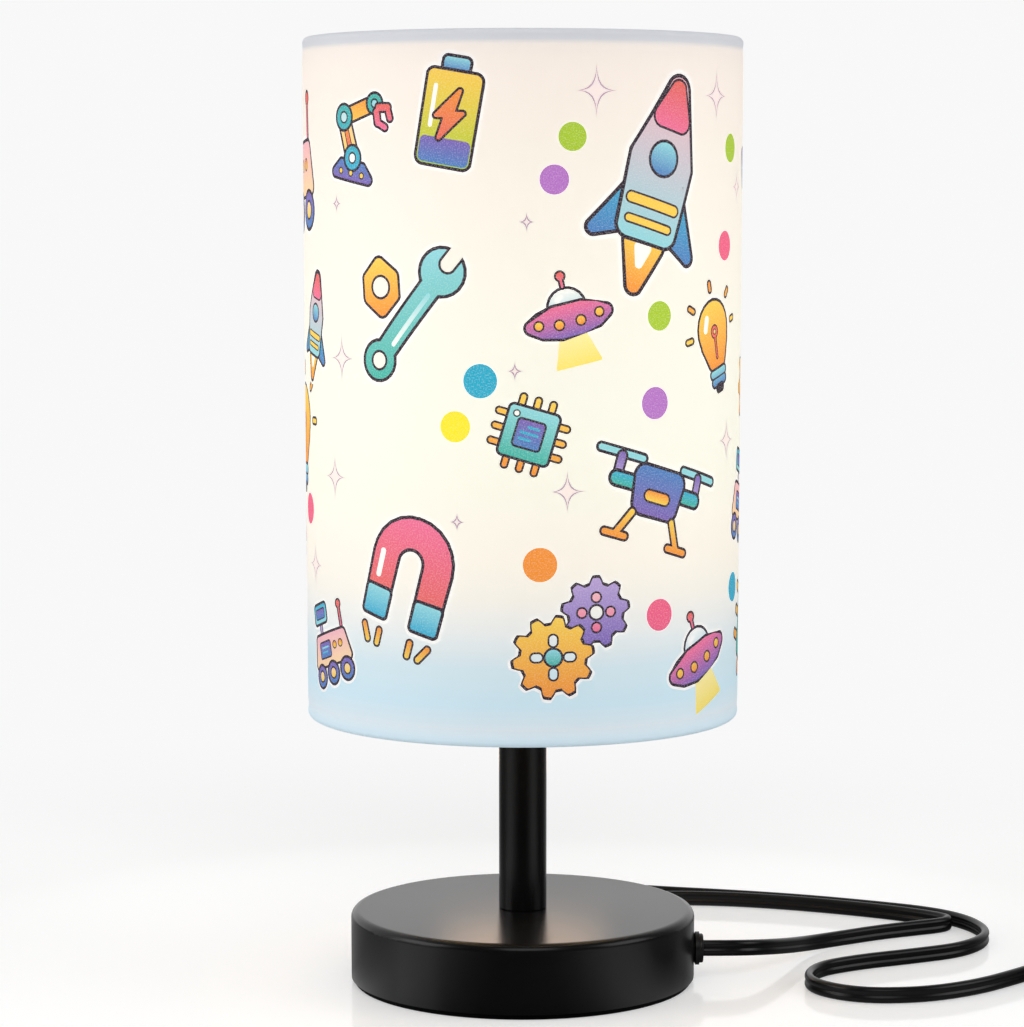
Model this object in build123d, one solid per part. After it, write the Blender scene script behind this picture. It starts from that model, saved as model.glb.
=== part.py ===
from build123d import *
import math
import os

# Table lamp: a printed drum shade on a slim pole, a round weighted base and a flat twin cord.
# Millimetres. Origin on the lamp's axis at the surface it stands on, +Z up, cord outlet at +X.

# ---- driving dimensions ----
SHADE_D = 125.0            # outside of the drum shade
SHADE_BOTTOM = 79.5
SHADE_TOP = 273.3
BASE_D = 101.0             # outside of the base's steel shell
BASE_TOP = 21.6
PAD_T = 1.5                # foam pad under the base
POLE_D = 14.0
POLE_TOP = 92.0
ROD_D = 10.0               # hollow M10 rod that ties the lamp together
CORD_D = 4.8               # width of the flat twin cord, which stands on edge
CORD_T = 2.7               # its thickness
OUTLET_Z = 9.2             # height of the cord outlet

# ---- base ----
SHELL_WALL = 1.2
SHELL_EDGE_R = 2.3
PAD_INSET = 0.9            # the pad ends this far inside the shell
PLATE_T = 1.2
BASE_FIT = 0.4             # slack between the shell and what it holds
WEB_Z = 14.4               # underside of the casting's web
RIM_ID = 80.0              # inside of the casting's rim
ROD_CLEARANCE = 0.2        # round the rod in shell and casting
SCREW_COUNT = 3
SCREW_RING_R = 44.4
SCREW_START = 60.0         # angle of the first screw
SCREW_D = 3.0
SCREW_HEAD_D = 5.6
SCREW_TOP = 11.0
OUTLET_D = 8.2             # outlet hole in the shell, with two flats
OUTLET_FLATS = 7.4
GLAND_HEAD_D = 9.8
GLAND_HEAD_L = 2.7         # head outside the shell
GLAND_GRIP_L = 17.3        # grip, measured in from the shell's outside
CORE_D = 2.2               # one insulated core of the cord
LEAD_D = 1.7               # insulated wire up the rod
MODULE_SIZE = (36.0, 24.0, 9.5)
MODULE_Y = -23.0

# ---- rod, nuts and pole ----
ROD_BORE = 7.0
ROD_BOTTOM = 6.4
ROD_TOP = 98.5
THREAD_SLACK = 0.05        # radial, of anything threaded on the rod
POLE_BORE = 11.0
NUT_AF = 14.0
NUT_T = 4.0
HOLDER_NUT_T = 3.0
WASHER_D = 24.0
WASHER_T = 1.2
LUG_T = 0.6
STAR_T = 0.8
STAR_D = 17.6
STAR_TEETH = 10

# ---- lamp holder ----
HOLDER_D = 38.0            # outside of the skirt, where the retaining ring screws on
HOLDER_TOP = 138.0
CAP_FLOOR = 3.0
CAP_FOOT_R = 12.5
CAP_TOP = 108.0            # joint between holder cap and skirt
CAP_FLUTES = 24
SPIGOT_R = 17.3            # the skirt's spigot inside the cap
SKIRT_IR = 14.8
SKIRT_FOOT_IR = 15.5       # wider foot of the skirt, which holds the contact block
SHOULDER_D = 45.0
SHOULDER_Z = 112.5
CARRIER_Z = 115.0          # top of the shoulder, where the shade's carrier rests
BLOCK_Z = 104.0
BLOCK_TOP = 110.0
TERMINAL_X = 10.5
TERMINAL_HEAD_R = 2.6
TERMINAL_HEAD_T = 1.5
SCREW_SHELL_R = 14.4       # outside
SCREW_SHELL_T = 0.7
SCREW_SHELL_TOP = 136.0
SCREW_SHELL_BORE_R = 8.2   # opening in its floor

# ---- bulb: candle shape on an E26 cap ----
BULB_CAP_R = 13.1
BULB_CAP_T = 0.4
BULB_CAP_Z = 116.0
BULB_CAP_TOP = 140.0
BULB_CONTACT_Z = 112.7
BULB_CONTACT_T = 0.8
INSULATOR_R = 8.0
HOUSING_TOP = 158.0
HOUSING_TOP_R = 18.2
GLOBE_TOP = 215.5
GLOBE_WALL = 1.0
LED_COUNT = 8

# ---- shade ----
FABRIC_T = 0.4
LINER_T = 0.6
WIRE_D = 2.4
TURN_IN = 7.0              # fabric turned in past each wire ring
LAP_WIDTH = 8.0            # glued lap seam at the back
LAP_T = 0.3
ARM_COUNT = 3
ARM_START = 90.0           # the first arm points at +Y
ARM_NOTCH_W = 4.4          # slit in the hem where an arm passes
CARRIER_D = 58.0
CARRIER_BORE = 40.0
CARRIER_T = 1.2
CARRIER_RIM_H = 2.6
RING_D = 50.0              # retaining ring
RING_BORE = 38.6
RING_H = 8.0
RING_FLANGE_T = 2.0
RING_RIBS = 30

# ---- cord, coil and plug ----
COIL_CENTRE = (193.0, 0.6)
COIL_MID_R = 28.4          # nearly twelve cord widths across at the middle of the turns
COIL_BUILD = 9.8           # the turns of one layer side by side, on edge
COIL_LAYERS = 2
TIE_W = 9.0
TIE_T = 0.9
TIE_ANGLE = 250.0
PLUG_W = 23.0
PLUG_H = 13.2
PLUG_L = 27.0
PLUG_NECK_L = 13.0
BLADE_SPACING = 12.7
BLADE_W = 6.35
BLADE_T = 1.5
BLADE_L = 16.5

# Route of the free cord from the outlet to the coil. It drops to the surface, folds back on
# itself beside the second loop, turns behind the base and comes out again in an S.
ROUTE = [
    (53.2, 0.0, 9.2), (62.5, 0.0, 9.2), (71.5, 6.3, 8.0), (79.5, 18.5, 5.6), (87.5, 32.5, 3.2),
    (98.5, 43.0, 2.4), (110.0, 50.4, 2.4), (120.5, 56.0, 2.4), (128.2, 60.0, 2.4),
    (131.4, 64.4, 2.4), (130.0, 69.4, 2.4), (122.2, 75.2, 2.4), (108.0, 83.6, 2.4),
    (88.0, 92.2, 2.4), (67.0, 99.0, 2.4), (46.0, 101.4, 2.4), (26.0, 97.4, 2.4), (9.0, 89.0, 2.4),
    (-8.0, 85.6, 2.4), (-21.8, 92.0, 2.4), (-25.6, 106.0, 2.4), (-14.5, 118.0, 2.4),
    (3.5, 120.4, 2.4), (24.0, 115.4, 2.4), (45.0, 108.6, 2.4), (67.0, 105.6, 2.4),
    (90.0, 98.4, 2.4), (112.0, 88.6, 2.4), (131.5, 78.0, 2.4), (141.2, 62.5, 2.4),
    (144.2, 44.0, 2.4), (134.6, 27.5, 2.4), (117.0, 18.4, 2.4), (100.0, 10.8, 2.4),
    (85.8, 0.5, 2.4), (82.2, -17.5, 2.4), (95.0, -30.6, 2.4), (114.0, -30.2, 2.4),
    (131.0, -21.0, 2.4), (145.0, -7.2, 2.4), (157.5, 7.0, 2.4), (168.5, 20.5, 2.4),
]

# The cord's last stretch, from the coil's top layer to the plug.
TAIL_START = (224.6, -1.0, 7.2)
TAIL_END = (225.6, -22.0, 6.6)

# ---- worked out from the above ----
SHADE_R = SHADE_D / 2
BASE_R = BASE_D / 2
SHELL_IR = BASE_R - SHELL_WALL
SHELL_CEILING = BASE_TOP - SHELL_WALL
INSIDE_R = SHELL_IR - BASE_FIT
PLATE_TOP = PAD_T + PLATE_T
HOLDER_R = HOLDER_D / 2
HEM_R = WIRE_D / 2 + FABRIC_T
HEM_RING_R = SHADE_R - HEM_R
HEM_LOW = SHADE_BOTTOM + HEM_R
HEM_HIGH = SHADE_TOP - HEM_R
LINER_OR = SHADE_R - FABRIC_T
LINER_IR = LINER_OR - LINER_T
WASHER_Z = WEB_Z - WASHER_T
LUG_Z = WASHER_Z - LUG_T
STAR_Z = LUG_Z - STAR_T
ROD_NUT_Z = STAR_Z - NUT_T
THREAD_R = ROD_D / 2 + THREAD_SLACK
COIL_H = COIL_LAYERS * CORD_D
ARM_ANGLES = [ARM_START + i * 360 / ARM_COUNT for i in range(ARM_COUNT)]
UP = (Align.CENTER, Align.CENTER, Align.MIN)


# ---- small makers ----
def turned(points, arc=360):
    """Solid of revolution about Z of a closed outline given as (radius, height) points."""
    outline = make_face(Polyline([(r, 0, z) for r, z in points], close=True))
    return revolve(outline, Axis.Z, arc)


def tube(outer_r, inner_r, bottom, top, arc=360):
    return turned([(inner_r, bottom), (outer_r, bottom), (outer_r, top), (inner_r, top)], arc)


def disc(radius, bottom, top):
    return Pos(0, 0, bottom) * Cylinder(radius, top - bottom, align=UP)


def ring_of(count, radius, shape, start=0.0):
    """The shape repeated at equal angles round Z, at the given radius."""
    return [Rot(0, 0, start + i * 360 / count) * Pos(radius, 0, 0) * shape for i in range(count)]


def hex_nut(bottom, height):
    """Hexagon nut for the rod, with its corners turned down on both faces."""
    corner_r = NUT_AF / math.sqrt(3)
    bevel = 0.7
    blank = extrude(RegularPolygon(corner_r, 6), height)
    turned_down = turned([(0, 0), (corner_r - bevel, 0), (corner_r, bevel),
                          (corner_r, height - bevel), (corner_r - bevel, height), (0, height)])
    nut = (blank & turned_down) - Cylinder(THREAD_R, 3 * height)
    return Pos(0, 0, bottom) * nut


def round_wire(points, radius, bends):
    """Round wire along straight runs joined by tangent arcs."""
    path = FilletPolyline(*points, radius=bends)
    start = Plane(path @ 0, z_dir=path % 0)
    return sweep(start * Circle(radius), path)


def outer_ends(solid, bore_r):
    """The end circles of a tube's outside."""
    return solid.edges().filter_by(GeomType.CIRCLE).filter_by(lambda edge: edge.radius > bore_r + 0.5)


# ---- base ----
def base_pad():
    pad = disc(BASE_R - PAD_INSET, 0, PAD_T)
    return chamfer(pad.edges().group_by(Axis.Z)[0], 0.3)


def base_plate():
    """Stamped steel disc that closes the base, countersunk for its screws."""
    hole_slack = 0.2
    plate = disc(INSIDE_R, PAD_T, PLATE_TOP)
    countersink = Cone(SCREW_HEAD_D / 2 + hole_slack, SCREW_D / 2 + hole_slack, PLATE_T, align=UP)
    for hole in ring_of(SCREW_COUNT, SCREW_RING_R, Pos(0, 0, PAD_T) * countersink, SCREW_START):
        plate -= hole
    return plate


def base_screws():
    """Countersunk screws with a cross recess."""
    recess_l, recess_w, recess_depth = 3.2, 0.7, 0.6
    head = Pos(0, 0, PAD_T) * Cone(SCREW_HEAD_D / 2, SCREW_D / 2, PLATE_T, align=UP)
    shank = disc(SCREW_D / 2, PLATE_TOP, SCREW_TOP)
    cross = Box(recess_l, recess_w, 2 * recess_depth) + Box(recess_w, recess_l, 2 * recess_depth)
    screw = head + shank - Pos(0, 0, PAD_T) * cross
    return Compound(children=ring_of(SCREW_COUNT, SCREW_RING_R, screw, SCREW_START))


def base_shell():
    """Deep-drawn steel cup, open below, with a rounded rim and a flatted hole for the cord outlet."""
    cup = disc(BASE_R, PAD_T, BASE_TOP)
    cup = fillet(cup.edges().group_by(Axis.Z)[-1], SHELL_EDGE_R)
    inside = disc(SHELL_IR, 0, SHELL_CEILING)
    inside = fillet(inside.edges().group_by(Axis.Z)[-1], SHELL_EDGE_R - SHELL_WALL)
    cup -= inside
    cup -= Cylinder(ROD_D / 2 + ROD_CLEARANCE, 4 * BASE_TOP)
    outlet = extrude(Plane.YZ * (Circle(OUTLET_D / 2) & Rectangle(OUTLET_D, OUTLET_FLATS)), BASE_D)
    return cup - Pos(0, 0, OUTLET_Z) * outlet


def base_weight():
    """Cast ring and web that fill the shell, with a gap in the rim for the cord outlet."""
    draft, corner = 0.6, 1.6
    gap_w, gap_l = 13.0, 24.0
    bore_r = ROD_D / 2 + ROD_CLEARANCE
    inner = RIM_ID / 2
    casting = turned([
        (bore_r, WEB_Z), (inner - 2, WEB_Z), (inner, WEB_Z - 2), (inner + draft, PLATE_TOP),
        (INSIDE_R, PLATE_TOP), (INSIDE_R, SHELL_CEILING - corner), (INSIDE_R - corner, SHELL_CEILING),
        (bore_r, SHELL_CEILING),
    ])
    casting -= Pos(inner + 5, 0, PLATE_TOP) * Box(gap_l, gap_w, WEB_Z - PLATE_TOP, align=UP)
    tapped = disc(SCREW_D / 2 + THREAD_SLACK, PLATE_TOP - 1, SCREW_TOP + 1)
    for hole in ring_of(SCREW_COUNT, SCREW_RING_R, tapped, SCREW_START):
        casting -= hole
    return casting


def cord_gland():
    """Push-in strain relief: a stepped head outside, a waist in the wall and a tapered grip inside."""
    waist_r, grip_r, tip_r = 3.6, 4.7, 3.4
    head_r, step_r, edge = GLAND_HEAD_D / 2, 4.3, 0.3
    mouth = BASE_R + GLAND_HEAD_L
    profile = [
        (0, BASE_R - GLAND_GRIP_L), (tip_r, BASE_R - GLAND_GRIP_L), (grip_r, SHELL_IR - 3.0),
        (grip_r, SHELL_IR - 0.4), (waist_r, SHELL_IR - 0.1), (waist_r, BASE_R), (step_r, BASE_R + 0.1),
        (head_r, BASE_R + 0.4), (head_r, BASE_R + 1.5), (step_r, BASE_R + 1.6), (step_r, mouth - edge),
        (step_r - edge, mouth), (0, mouth),
    ]
    body = Rot(0, 90, 0) * turned(profile)
    passage = extrude(Plane.YZ * SlotOverall(CORD_D + 0.2, CORD_T + 0.2, rotation=90), BASE_D)
    return Pos(0, 0, OUTLET_Z) * (body - passage)


def touch_module():
    """Touch-dimmer module in a moulded case, its lid sunk inside a lip."""
    width, depth, height = MODULE_SIZE
    corner_r, lip, lip_depth = 2.0, 1.5, 0.6
    case = Box(width, depth, height, align=UP)
    case = fillet(case.edges().filter_by(Axis.Z), corner_r)
    case -= Pos(0, 0, height) * Box(width - 2 * lip, depth - 2 * lip, 2 * lip_depth)
    return Pos(0, MODULE_Y, PLATE_TOP) * case


def supply_leads():
    """The two cores of the cord, from the outlet's mouth to the module."""
    wires = []
    for side in (-1, 1):
        z = OUTLET_Z + side * (CORE_D / 2 + 0.1)
        end = (MODULE_SIZE[0] / 2, MODULE_Y + 2 + side * 3, z)
        points = [(BASE_R + GLAND_HEAD_L, 0, z), (31, 0, z), (25, -7, z), end]
        wires.append(round_wire(points, CORE_D / 2, 2.4))
    return Compound(children=wires)


def lamp_leads():
    """Two insulated wires from the module, up the hollow rod and out under the terminal screws."""
    low, high = 4.6, 100.4
    module_face = MODULE_Y + MODULE_SIZE[1] / 2
    terminal = TERMINAL_X - TERMINAL_HEAD_R - LEAD_D / 2 - 0.05
    wires = []
    for side in (-1, 1):
        x = side * 1.5
        points = [(x, module_face, low), (x, 0, low), (x, 0, high), (side * terminal, 0, high),
                  (side * terminal, 0, BLOCK_Z + TERMINAL_HEAD_T - 0.3)]
        wires.append(round_wire(points, LEAD_D / 2, 1.6))
    return Compound(children=wires)


def sense_lug():
    """Ring terminal under the washer: it ties the touch input to the metal body."""
    eye_r, tongue_l, tongue_w = 7.5, 12.0, 5.0
    barrel_r, barrel_bore_r, barrel_l = 1.7, 1.0, 6.0
    eye = disc(eye_r, LUG_Z, WASHER_Z)
    tongue = Pos(-tongue_l, 0, LUG_Z) * Box(tongue_l, tongue_w, LUG_T, align=UP)
    barrel = Rot(0, 90, 0) * (Cylinder(barrel_r, barrel_l) - Cylinder(barrel_bore_r, 2 * barrel_l))
    lug = eye + tongue + Pos(-19.5, 0, LUG_Z) * barrel
    return lug - Cylinder(THREAD_R, 4 * BASE_TOP)


def sense_lead():
    module_side = -MODULE_SIZE[0] / 2
    points = [(-17.5, 0, LUG_Z), (-24.5, 0, LUG_Z), (-27.0, -10, 9.0), (module_side, -19, 8.0)]
    return round_wire(points, 0.9, 2.0)


# ---- rod, nuts and pole ----
def threaded_rod():
    rod = tube(ROD_D / 2, ROD_BORE / 2, ROD_BOTTOM, ROD_TOP)
    return chamfer(outer_ends(rod, ROD_BORE / 2), 0.5)


def rod_washer():
    return tube(WASHER_D / 2, THREAD_R, WASHER_Z, WEB_Z)


def lock_washer():
    """Star washer, notched between its teeth."""
    notch_r, notch_ring_r = 0.85, 6.0
    washer = tube(STAR_D / 2, THREAD_R, STAR_Z, LUG_Z)
    for notch in ring_of(STAR_TEETH, notch_ring_r, disc(notch_r, STAR_Z - 1, LUG_Z + 1)):
        washer -= notch
    return washer


def rod_nut():
    return hex_nut(ROD_NUT_Z, NUT_T)


def pole():
    """Seamless tube that stands on the shell and carries the holder."""
    post = tube(POLE_D / 2, POLE_BORE / 2, BASE_TOP, POLE_TOP)
    return chamfer(outer_ends(post, POLE_BORE / 2), 0.3)


# ---- lamp holder ----
def holder_nut():
    return hex_nut(POLE_TOP + CAP_FLOOR, HOLDER_NUT_T)


def holder_cap():
    """Moulded cup clamped on the rod, with grip flutes round its upper half."""
    flute_r, flute_l = 0.7, 7.0
    floor = POLE_TOP + CAP_FLOOR
    bore_r = SPIGOT_R + 0.1
    cup = turned([
        (THREAD_R, POLE_TOP), (CAP_FOOT_R, POLE_TOP), (15.2, POLE_TOP + 1.5), (17.8, POLE_TOP + 6),
        (HOLDER_R, POLE_TOP + 10), (HOLDER_R, CAP_TOP), (bore_r, CAP_TOP), (bore_r, floor + 4),
        (CAP_FOOT_R, floor), (THREAD_R, floor),
    ])
    flute = Pos(0, 0, CAP_TOP - flute_l / 2) * Cylinder(flute_r, flute_l + 1)
    for cut in ring_of(CAP_FLUTES, HOLDER_R + 0.2, flute):
        cup -= cut
    return cup


def holder_body():
    """Moulded skirt: a spigot in the cap, the shoulder that carries the shade, then the threaded length."""
    lead_in = 1.2
    return turned([
        (SKIRT_FOOT_IR, BLOCK_Z - 1), (SPIGOT_R, BLOCK_Z - 1), (SPIGOT_R, CAP_TOP), (HOLDER_R, CAP_TOP),
        (HOLDER_R, SHOULDER_Z - 1.5), (SHOULDER_D / 2, SHOULDER_Z), (SHOULDER_D / 2, CARRIER_Z),
        (HOLDER_R, CARRIER_Z), (HOLDER_R, HOLDER_TOP - lead_in), (HOLDER_R - lead_in, HOLDER_TOP),
        (SKIRT_IR + lead_in / 2, HOLDER_TOP), (SKIRT_IR, HOLDER_TOP - lead_in / 2), (SKIRT_IR, BLOCK_TOP),
        (SKIRT_FOOT_IR, BLOCK_TOP),
    ])


def contact_block():
    """Ceramic disc that carries the live parts, with a pocket and a screw hole at each terminal."""
    pocket = (8.4, 8.0, TERMINAL_HEAD_T)
    block = disc(SKIRT_FOOT_IR - 0.2, BLOCK_Z, BLOCK_TOP)
    for side in (-1, 1):
        block -= Pos(side * (TERMINAL_X - 0.4), 0, BLOCK_Z) * Box(*pocket, align=UP)
        block -= Pos(side * TERMINAL_X, 0, 0) * disc(1.3, BLOCK_Z, BLOCK_TOP - 1)
    return block


def terminal_screws():
    slot_w, slot_depth, shank_r = 0.7, 0.6, 1.25
    slot = Box(3 * TERMINAL_HEAD_R, slot_w, 2 * slot_depth)
    head = disc(TERMINAL_HEAD_R, BLOCK_Z, BLOCK_Z + TERMINAL_HEAD_T) - Pos(0, 0, BLOCK_Z) * slot
    screw = head + disc(shank_r, BLOCK_Z + TERMINAL_HEAD_T, BLOCK_TOP - 1.5)
    return Compound(children=ring_of(2, TERMINAL_X, screw))


def centre_contact():
    """Brass tongue, riveted flat at one end and sprung up under the bulb's contact."""
    sheet, width, bend = 0.6, 5.0, 0.35
    foot_start, foot_end, rise_end, tip = -7.2, -2.5, 1.5, 3.6
    top = BULB_CONTACT_Z - 0.1
    outline = Polyline([
        (foot_start, BLOCK_TOP), (foot_end, BLOCK_TOP), (rise_end, top - sheet), (tip, top - sheet),
        (tip, top), (rise_end - bend, top), (foot_end - bend, BLOCK_TOP + sheet),
        (foot_start, BLOCK_TOP + sheet),
    ], close=True)
    return extrude(Plane.XZ * make_face(outline), width / 2, both=True)


def screw_shell():
    """Spun brass shell for the bulb's cap, with a flange riveted to the block."""
    inner = SCREW_SHELL_R - SCREW_SHELL_T
    flange_top = BLOCK_TOP + SCREW_SHELL_T
    return turned([
        (SCREW_SHELL_BORE_R, BLOCK_TOP), (SCREW_SHELL_R, BLOCK_TOP), (SCREW_SHELL_R, SCREW_SHELL_TOP),
        (inner, SCREW_SHELL_TOP), (inner, flange_top), (SCREW_SHELL_BORE_R, flange_top),
    ])


def shell_rivets():
    head_r, head_t, ring_r = 1.4, 0.8, 11.2
    flange_top = BLOCK_TOP + SCREW_SHELL_T
    head = disc(head_r, flange_top, flange_top + head_t)
    return Compound(children=ring_of(2, ring_r, head, 90))


# ---- bulb ----
def bulb_cap():
    """Screw cap rolled from thin sheet, closed below by a cone round the insulator."""
    foot = BULB_CAP_Z - 0.6
    return turned([
        (INSULATOR_R, foot), (BULB_CAP_R - 1.6, foot), (BULB_CAP_R, BULB_CAP_Z + 1.2),
        (BULB_CAP_R, BULB_CAP_TOP), (BULB_CAP_R - BULB_CAP_T, BULB_CAP_TOP),
        (BULB_CAP_R - BULB_CAP_T, BULB_CAP_Z + 1.4), (BULB_CAP_R - 1.8, foot + BULB_CAP_T),
        (INSULATOR_R, foot + BULB_CAP_T),
    ])


def bulb_insulator():
    contact_top = BULB_CONTACT_Z + BULB_CONTACT_T
    return turned([
        (0, contact_top), (4.4, contact_top), (INSULATOR_R, BULB_CAP_Z - 0.8),
        (INSULATOR_R, BULB_CAP_Z + 1.0), (0, BULB_CAP_Z + 1.0),
    ])


def bulb_contact():
    return disc(4.0, BULB_CONTACT_Z, BULB_CONTACT_Z + BULB_CONTACT_T)


def bulb_housing():
    """Plastic-clad heat sink: a plug inside the cap, then a flare up to the globe."""
    plug_r = BULB_CAP_R - BULB_CAP_T - 0.1
    return turned([
        (0, BULB_CAP_TOP - 6), (plug_r, BULB_CAP_TOP - 6), (plug_r, BULB_CAP_TOP), (13.7, BULB_CAP_TOP),
        (13.9, BULB_CAP_TOP + 2), (15.6, BULB_CAP_TOP + 8), (17.9, HOUSING_TOP - 2),
        (HOUSING_TOP_R, HOUSING_TOP), (0, HOUSING_TOP),
    ])


def candle(inset):
    """Solid candle shape of the globe, its wall moved inwards by inset."""
    foot_r = 17.6 - inset
    apex = (0, 0, GLOBE_TOP - inset)
    flame = Spline([
        (foot_r, 0, HOUSING_TOP), (18.5 - inset, 0, HOUSING_TOP + 11), (16.6 - inset, 0, HOUSING_TOP + 27),
        (10.6 - inset, 0, HOUSING_TOP + 43), (4.6 - 0.8 * inset, 0, HOUSING_TOP + 52.5), apex,
    ], tangents=[(0.16, 0, 1), (-1, 0, 0.18)])
    axis = Line(apex, (0, 0, HOUSING_TOP))
    floor = Line((0, 0, HOUSING_TOP), (foot_r, 0, HOUSING_TOP))
    return revolve(make_face([flame, axis, floor]), Axis.Z)


def bulb_globe():
    return candle(0) - candle(GLOBE_WALL)


def led_board():
    """Aluminium board on the housing's deck with a ring of LED packages."""
    board_r, board_t, led_ring_r = 13.5, 1.6, 9.0
    package = (2.8, 3.5, 0.8)
    board = disc(board_r, HOUSING_TOP, HOUSING_TOP + board_t)
    for led in ring_of(LED_COUNT, led_ring_r, Pos(0, 0, HOUSING_TOP + board_t) * Box(*package, align=UP)):
        board += led
    return board


# ---- shade ----
def hem_section(ring_z, inwards):
    """Section of a hem: fabric hooked over the wire at ring_z and turned in, inwards = +1 up or -1 down."""
    hook = Pos(HEM_RING_R, ring_z) * (Circle(HEM_R) - Circle(WIRE_D / 2))
    start, end = ring_z + inwards * (HEM_R - 0.3), ring_z + inwards * TURN_IN
    strip = Pos(LINER_IR - FABRIC_T / 2, (start + end) / 2) * Rectangle(FABRIC_T, abs(end - start))
    liner_room = Pos(LINER_IR + LINER_T / 2, ring_z + inwards * 2) * Rectangle(LINER_T, 4)
    return hook - liner_room + strip


def shade_fabric():
    """Printed fabric: a drum hooked over both wire rings, lapped and glued down the back."""
    wall = Pos(SHADE_R - FABRIC_T / 2, (HEM_LOW + HEM_HIGH) / 2) * Rectangle(FABRIC_T, HEM_HIGH - HEM_LOW)
    section = wall + hem_section(HEM_LOW, 1) + hem_section(HEM_HIGH, -1)
    drum = revolve(Plane.XZ * section, Axis.Z)
    lap_arc = math.degrees(LAP_WIDTH / SHADE_R)
    lap = tube(SHADE_R + LAP_T, SHADE_R - FABRIC_T / 2, HEM_LOW + 1, HEM_HIGH - 1, lap_arc)
    drum += Rot(0, 0, 90 - lap_arc / 2) * lap
    notch = Pos(HEM_RING_R - 2.0, 0, HEM_LOW + 1.2) * Box(3.8, ARM_NOTCH_W, 5.6)
    for angle in ARM_ANGLES:
        drum -= Rot(0, 0, angle) * notch
    return drum


def shade_liner():
    """Clear plastic sheet that the fabric is bonded to; it stops short of the wires."""
    end_gap = 1.3
    return tube(LINER_OR, LINER_IR, HEM_LOW + end_gap, HEM_HIGH - end_gap)


def wire_ring(ring_z):
    return Pos(0, 0, ring_z) * Torus(HEM_RING_R, WIRE_D / 2)


def shade_top_wire():
    return wire_ring(HEM_HIGH)


def shade_bottom_wire():
    return wire_ring(HEM_LOW)


def spider_arms():
    """Bent wires, welded to the bottom ring and under the carrier, that rise from one to the other."""
    weld = 0.1
    level = CARRIER_Z - WIRE_D / 2 + weld
    points = [(HEM_RING_R - 0.9, 0, HEM_LOW), (31.0, 0, level), (SHOULDER_D / 2 + 1.6, 0, level)]
    arm = round_wire(points, WIRE_D / 2, 4.0)
    return Compound(children=ring_of(ARM_COUNT, 0, arm, ARM_START))


def shade_carrier():
    """Pressed steel ring with a turned-up rim that rests on the holder's shoulder."""
    outer, sheet = CARRIER_D / 2, 1.0
    return turned([
        (CARRIER_BORE / 2, CARRIER_Z), (outer, CARRIER_Z), (outer, CARRIER_Z + CARRIER_RIM_H),
        (outer - sheet, CARRIER_Z + CARRIER_RIM_H), (outer - sheet, CARRIER_Z + CARRIER_T),
        (CARRIER_BORE / 2, CARRIER_Z + CARRIER_T),
    ])


def shade_ring():
    """Moulded retaining ring with a flange and finger ribs; it screws down on the carrier."""
    bottom = CARRIER_Z + CARRIER_T
    top = bottom + RING_H
    flange_r, body_r, bore_r = RING_D / 2, RING_D / 2 - 2.4, RING_BORE / 2
    ring = turned([
        (bore_r, bottom), (flange_r, bottom), (flange_r, bottom + RING_FLANGE_T),
        (body_r, bottom + RING_FLANGE_T + 0.6), (body_r, top - 0.8), (body_r - 0.8, top),
        (bore_r + 0.6, top), (bore_r, top - 0.6),
    ])
    rib_r, rib_l = 0.8, RING_H - RING_FLANGE_T - 0.8
    rib = Pos(0, 0, bottom + RING_FLANGE_T - 0.4) * Cylinder(rib_r, rib_l, align=UP)
    for part in ring_of(RING_RIBS, body_r, rib):
        ring += part
    return ring


# ---- cord, coil and plug ----
def cord_bends(route):
    """Radius of the arc at each inner point: 0.45 of its shorter run over the tangent of half its turn."""
    radii = []
    for before, here, after in zip(route, route[1:], route[2:]):
        run_in = Vector(*here) - Vector(*before)
        run_out = Vector(*after) - Vector(*here)
        half_turn = math.radians(run_in.get_angle(run_out)) / 2
        radii.append(0.45 * min(run_in.length, run_out.length) / math.tan(half_turn))
    return radii


def cord():
    radii = cord_bends(ROUTE)
    print("cord bend radii, mm:", " ".join(f"{r:.0f}" for r in radii))
    body = round_wire(ROUTE, CORD_D / 2, radii)
    length = FilletPolyline(*ROUTE, radius=radii).length
    expected = math.pi * (CORD_D / 2) ** 2 * length
    print(f"cord tube {length:.1f} mm long, volume {body.volume / expected:.4f} of section x length")
    return body


def cord_coil():
    """Outer shape of the coil: the cord's spare length, wound on edge in two layers."""
    section = Pos(COIL_MID_R, COIL_H / 2) * RectangleRounded(COIL_BUILD, COIL_H, 1.6)
    return Pos(*COIL_CENTRE, 0) * revolve(Plane.XZ * section, Axis.Z)


def coil_tie():
    """Hook-and-loop strap round the turns, its end lapped on top."""
    outer = Rectangle(COIL_BUILD + 2 * TIE_T, COIL_H + TIE_T)
    inner = Rectangle(COIL_BUILD, COIL_H - TIE_T)
    band = extrude(Plane.XZ * (outer - inner), TIE_W / 2, both=True)
    strap = Pos(0, 0, (COIL_H + TIE_T) / 2) * band
    lapped_end = Pos(1.0, 0, COIL_H + TIE_T) * Box(COIL_BUILD - 2, TIE_W, TIE_T, align=UP)
    return Pos(*COIL_CENTRE, 0) * Rot(0, 0, TIE_ANGLE) * Pos(COIL_MID_R, 0, 0) * (strap + lapped_end)


def cord_tail():
    run = Vector(*TAIL_END) - Vector(*TAIL_START)
    return extrude(Plane(TAIL_START, z_dir=run) * Circle(CORD_D / 2), run.length)


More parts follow.
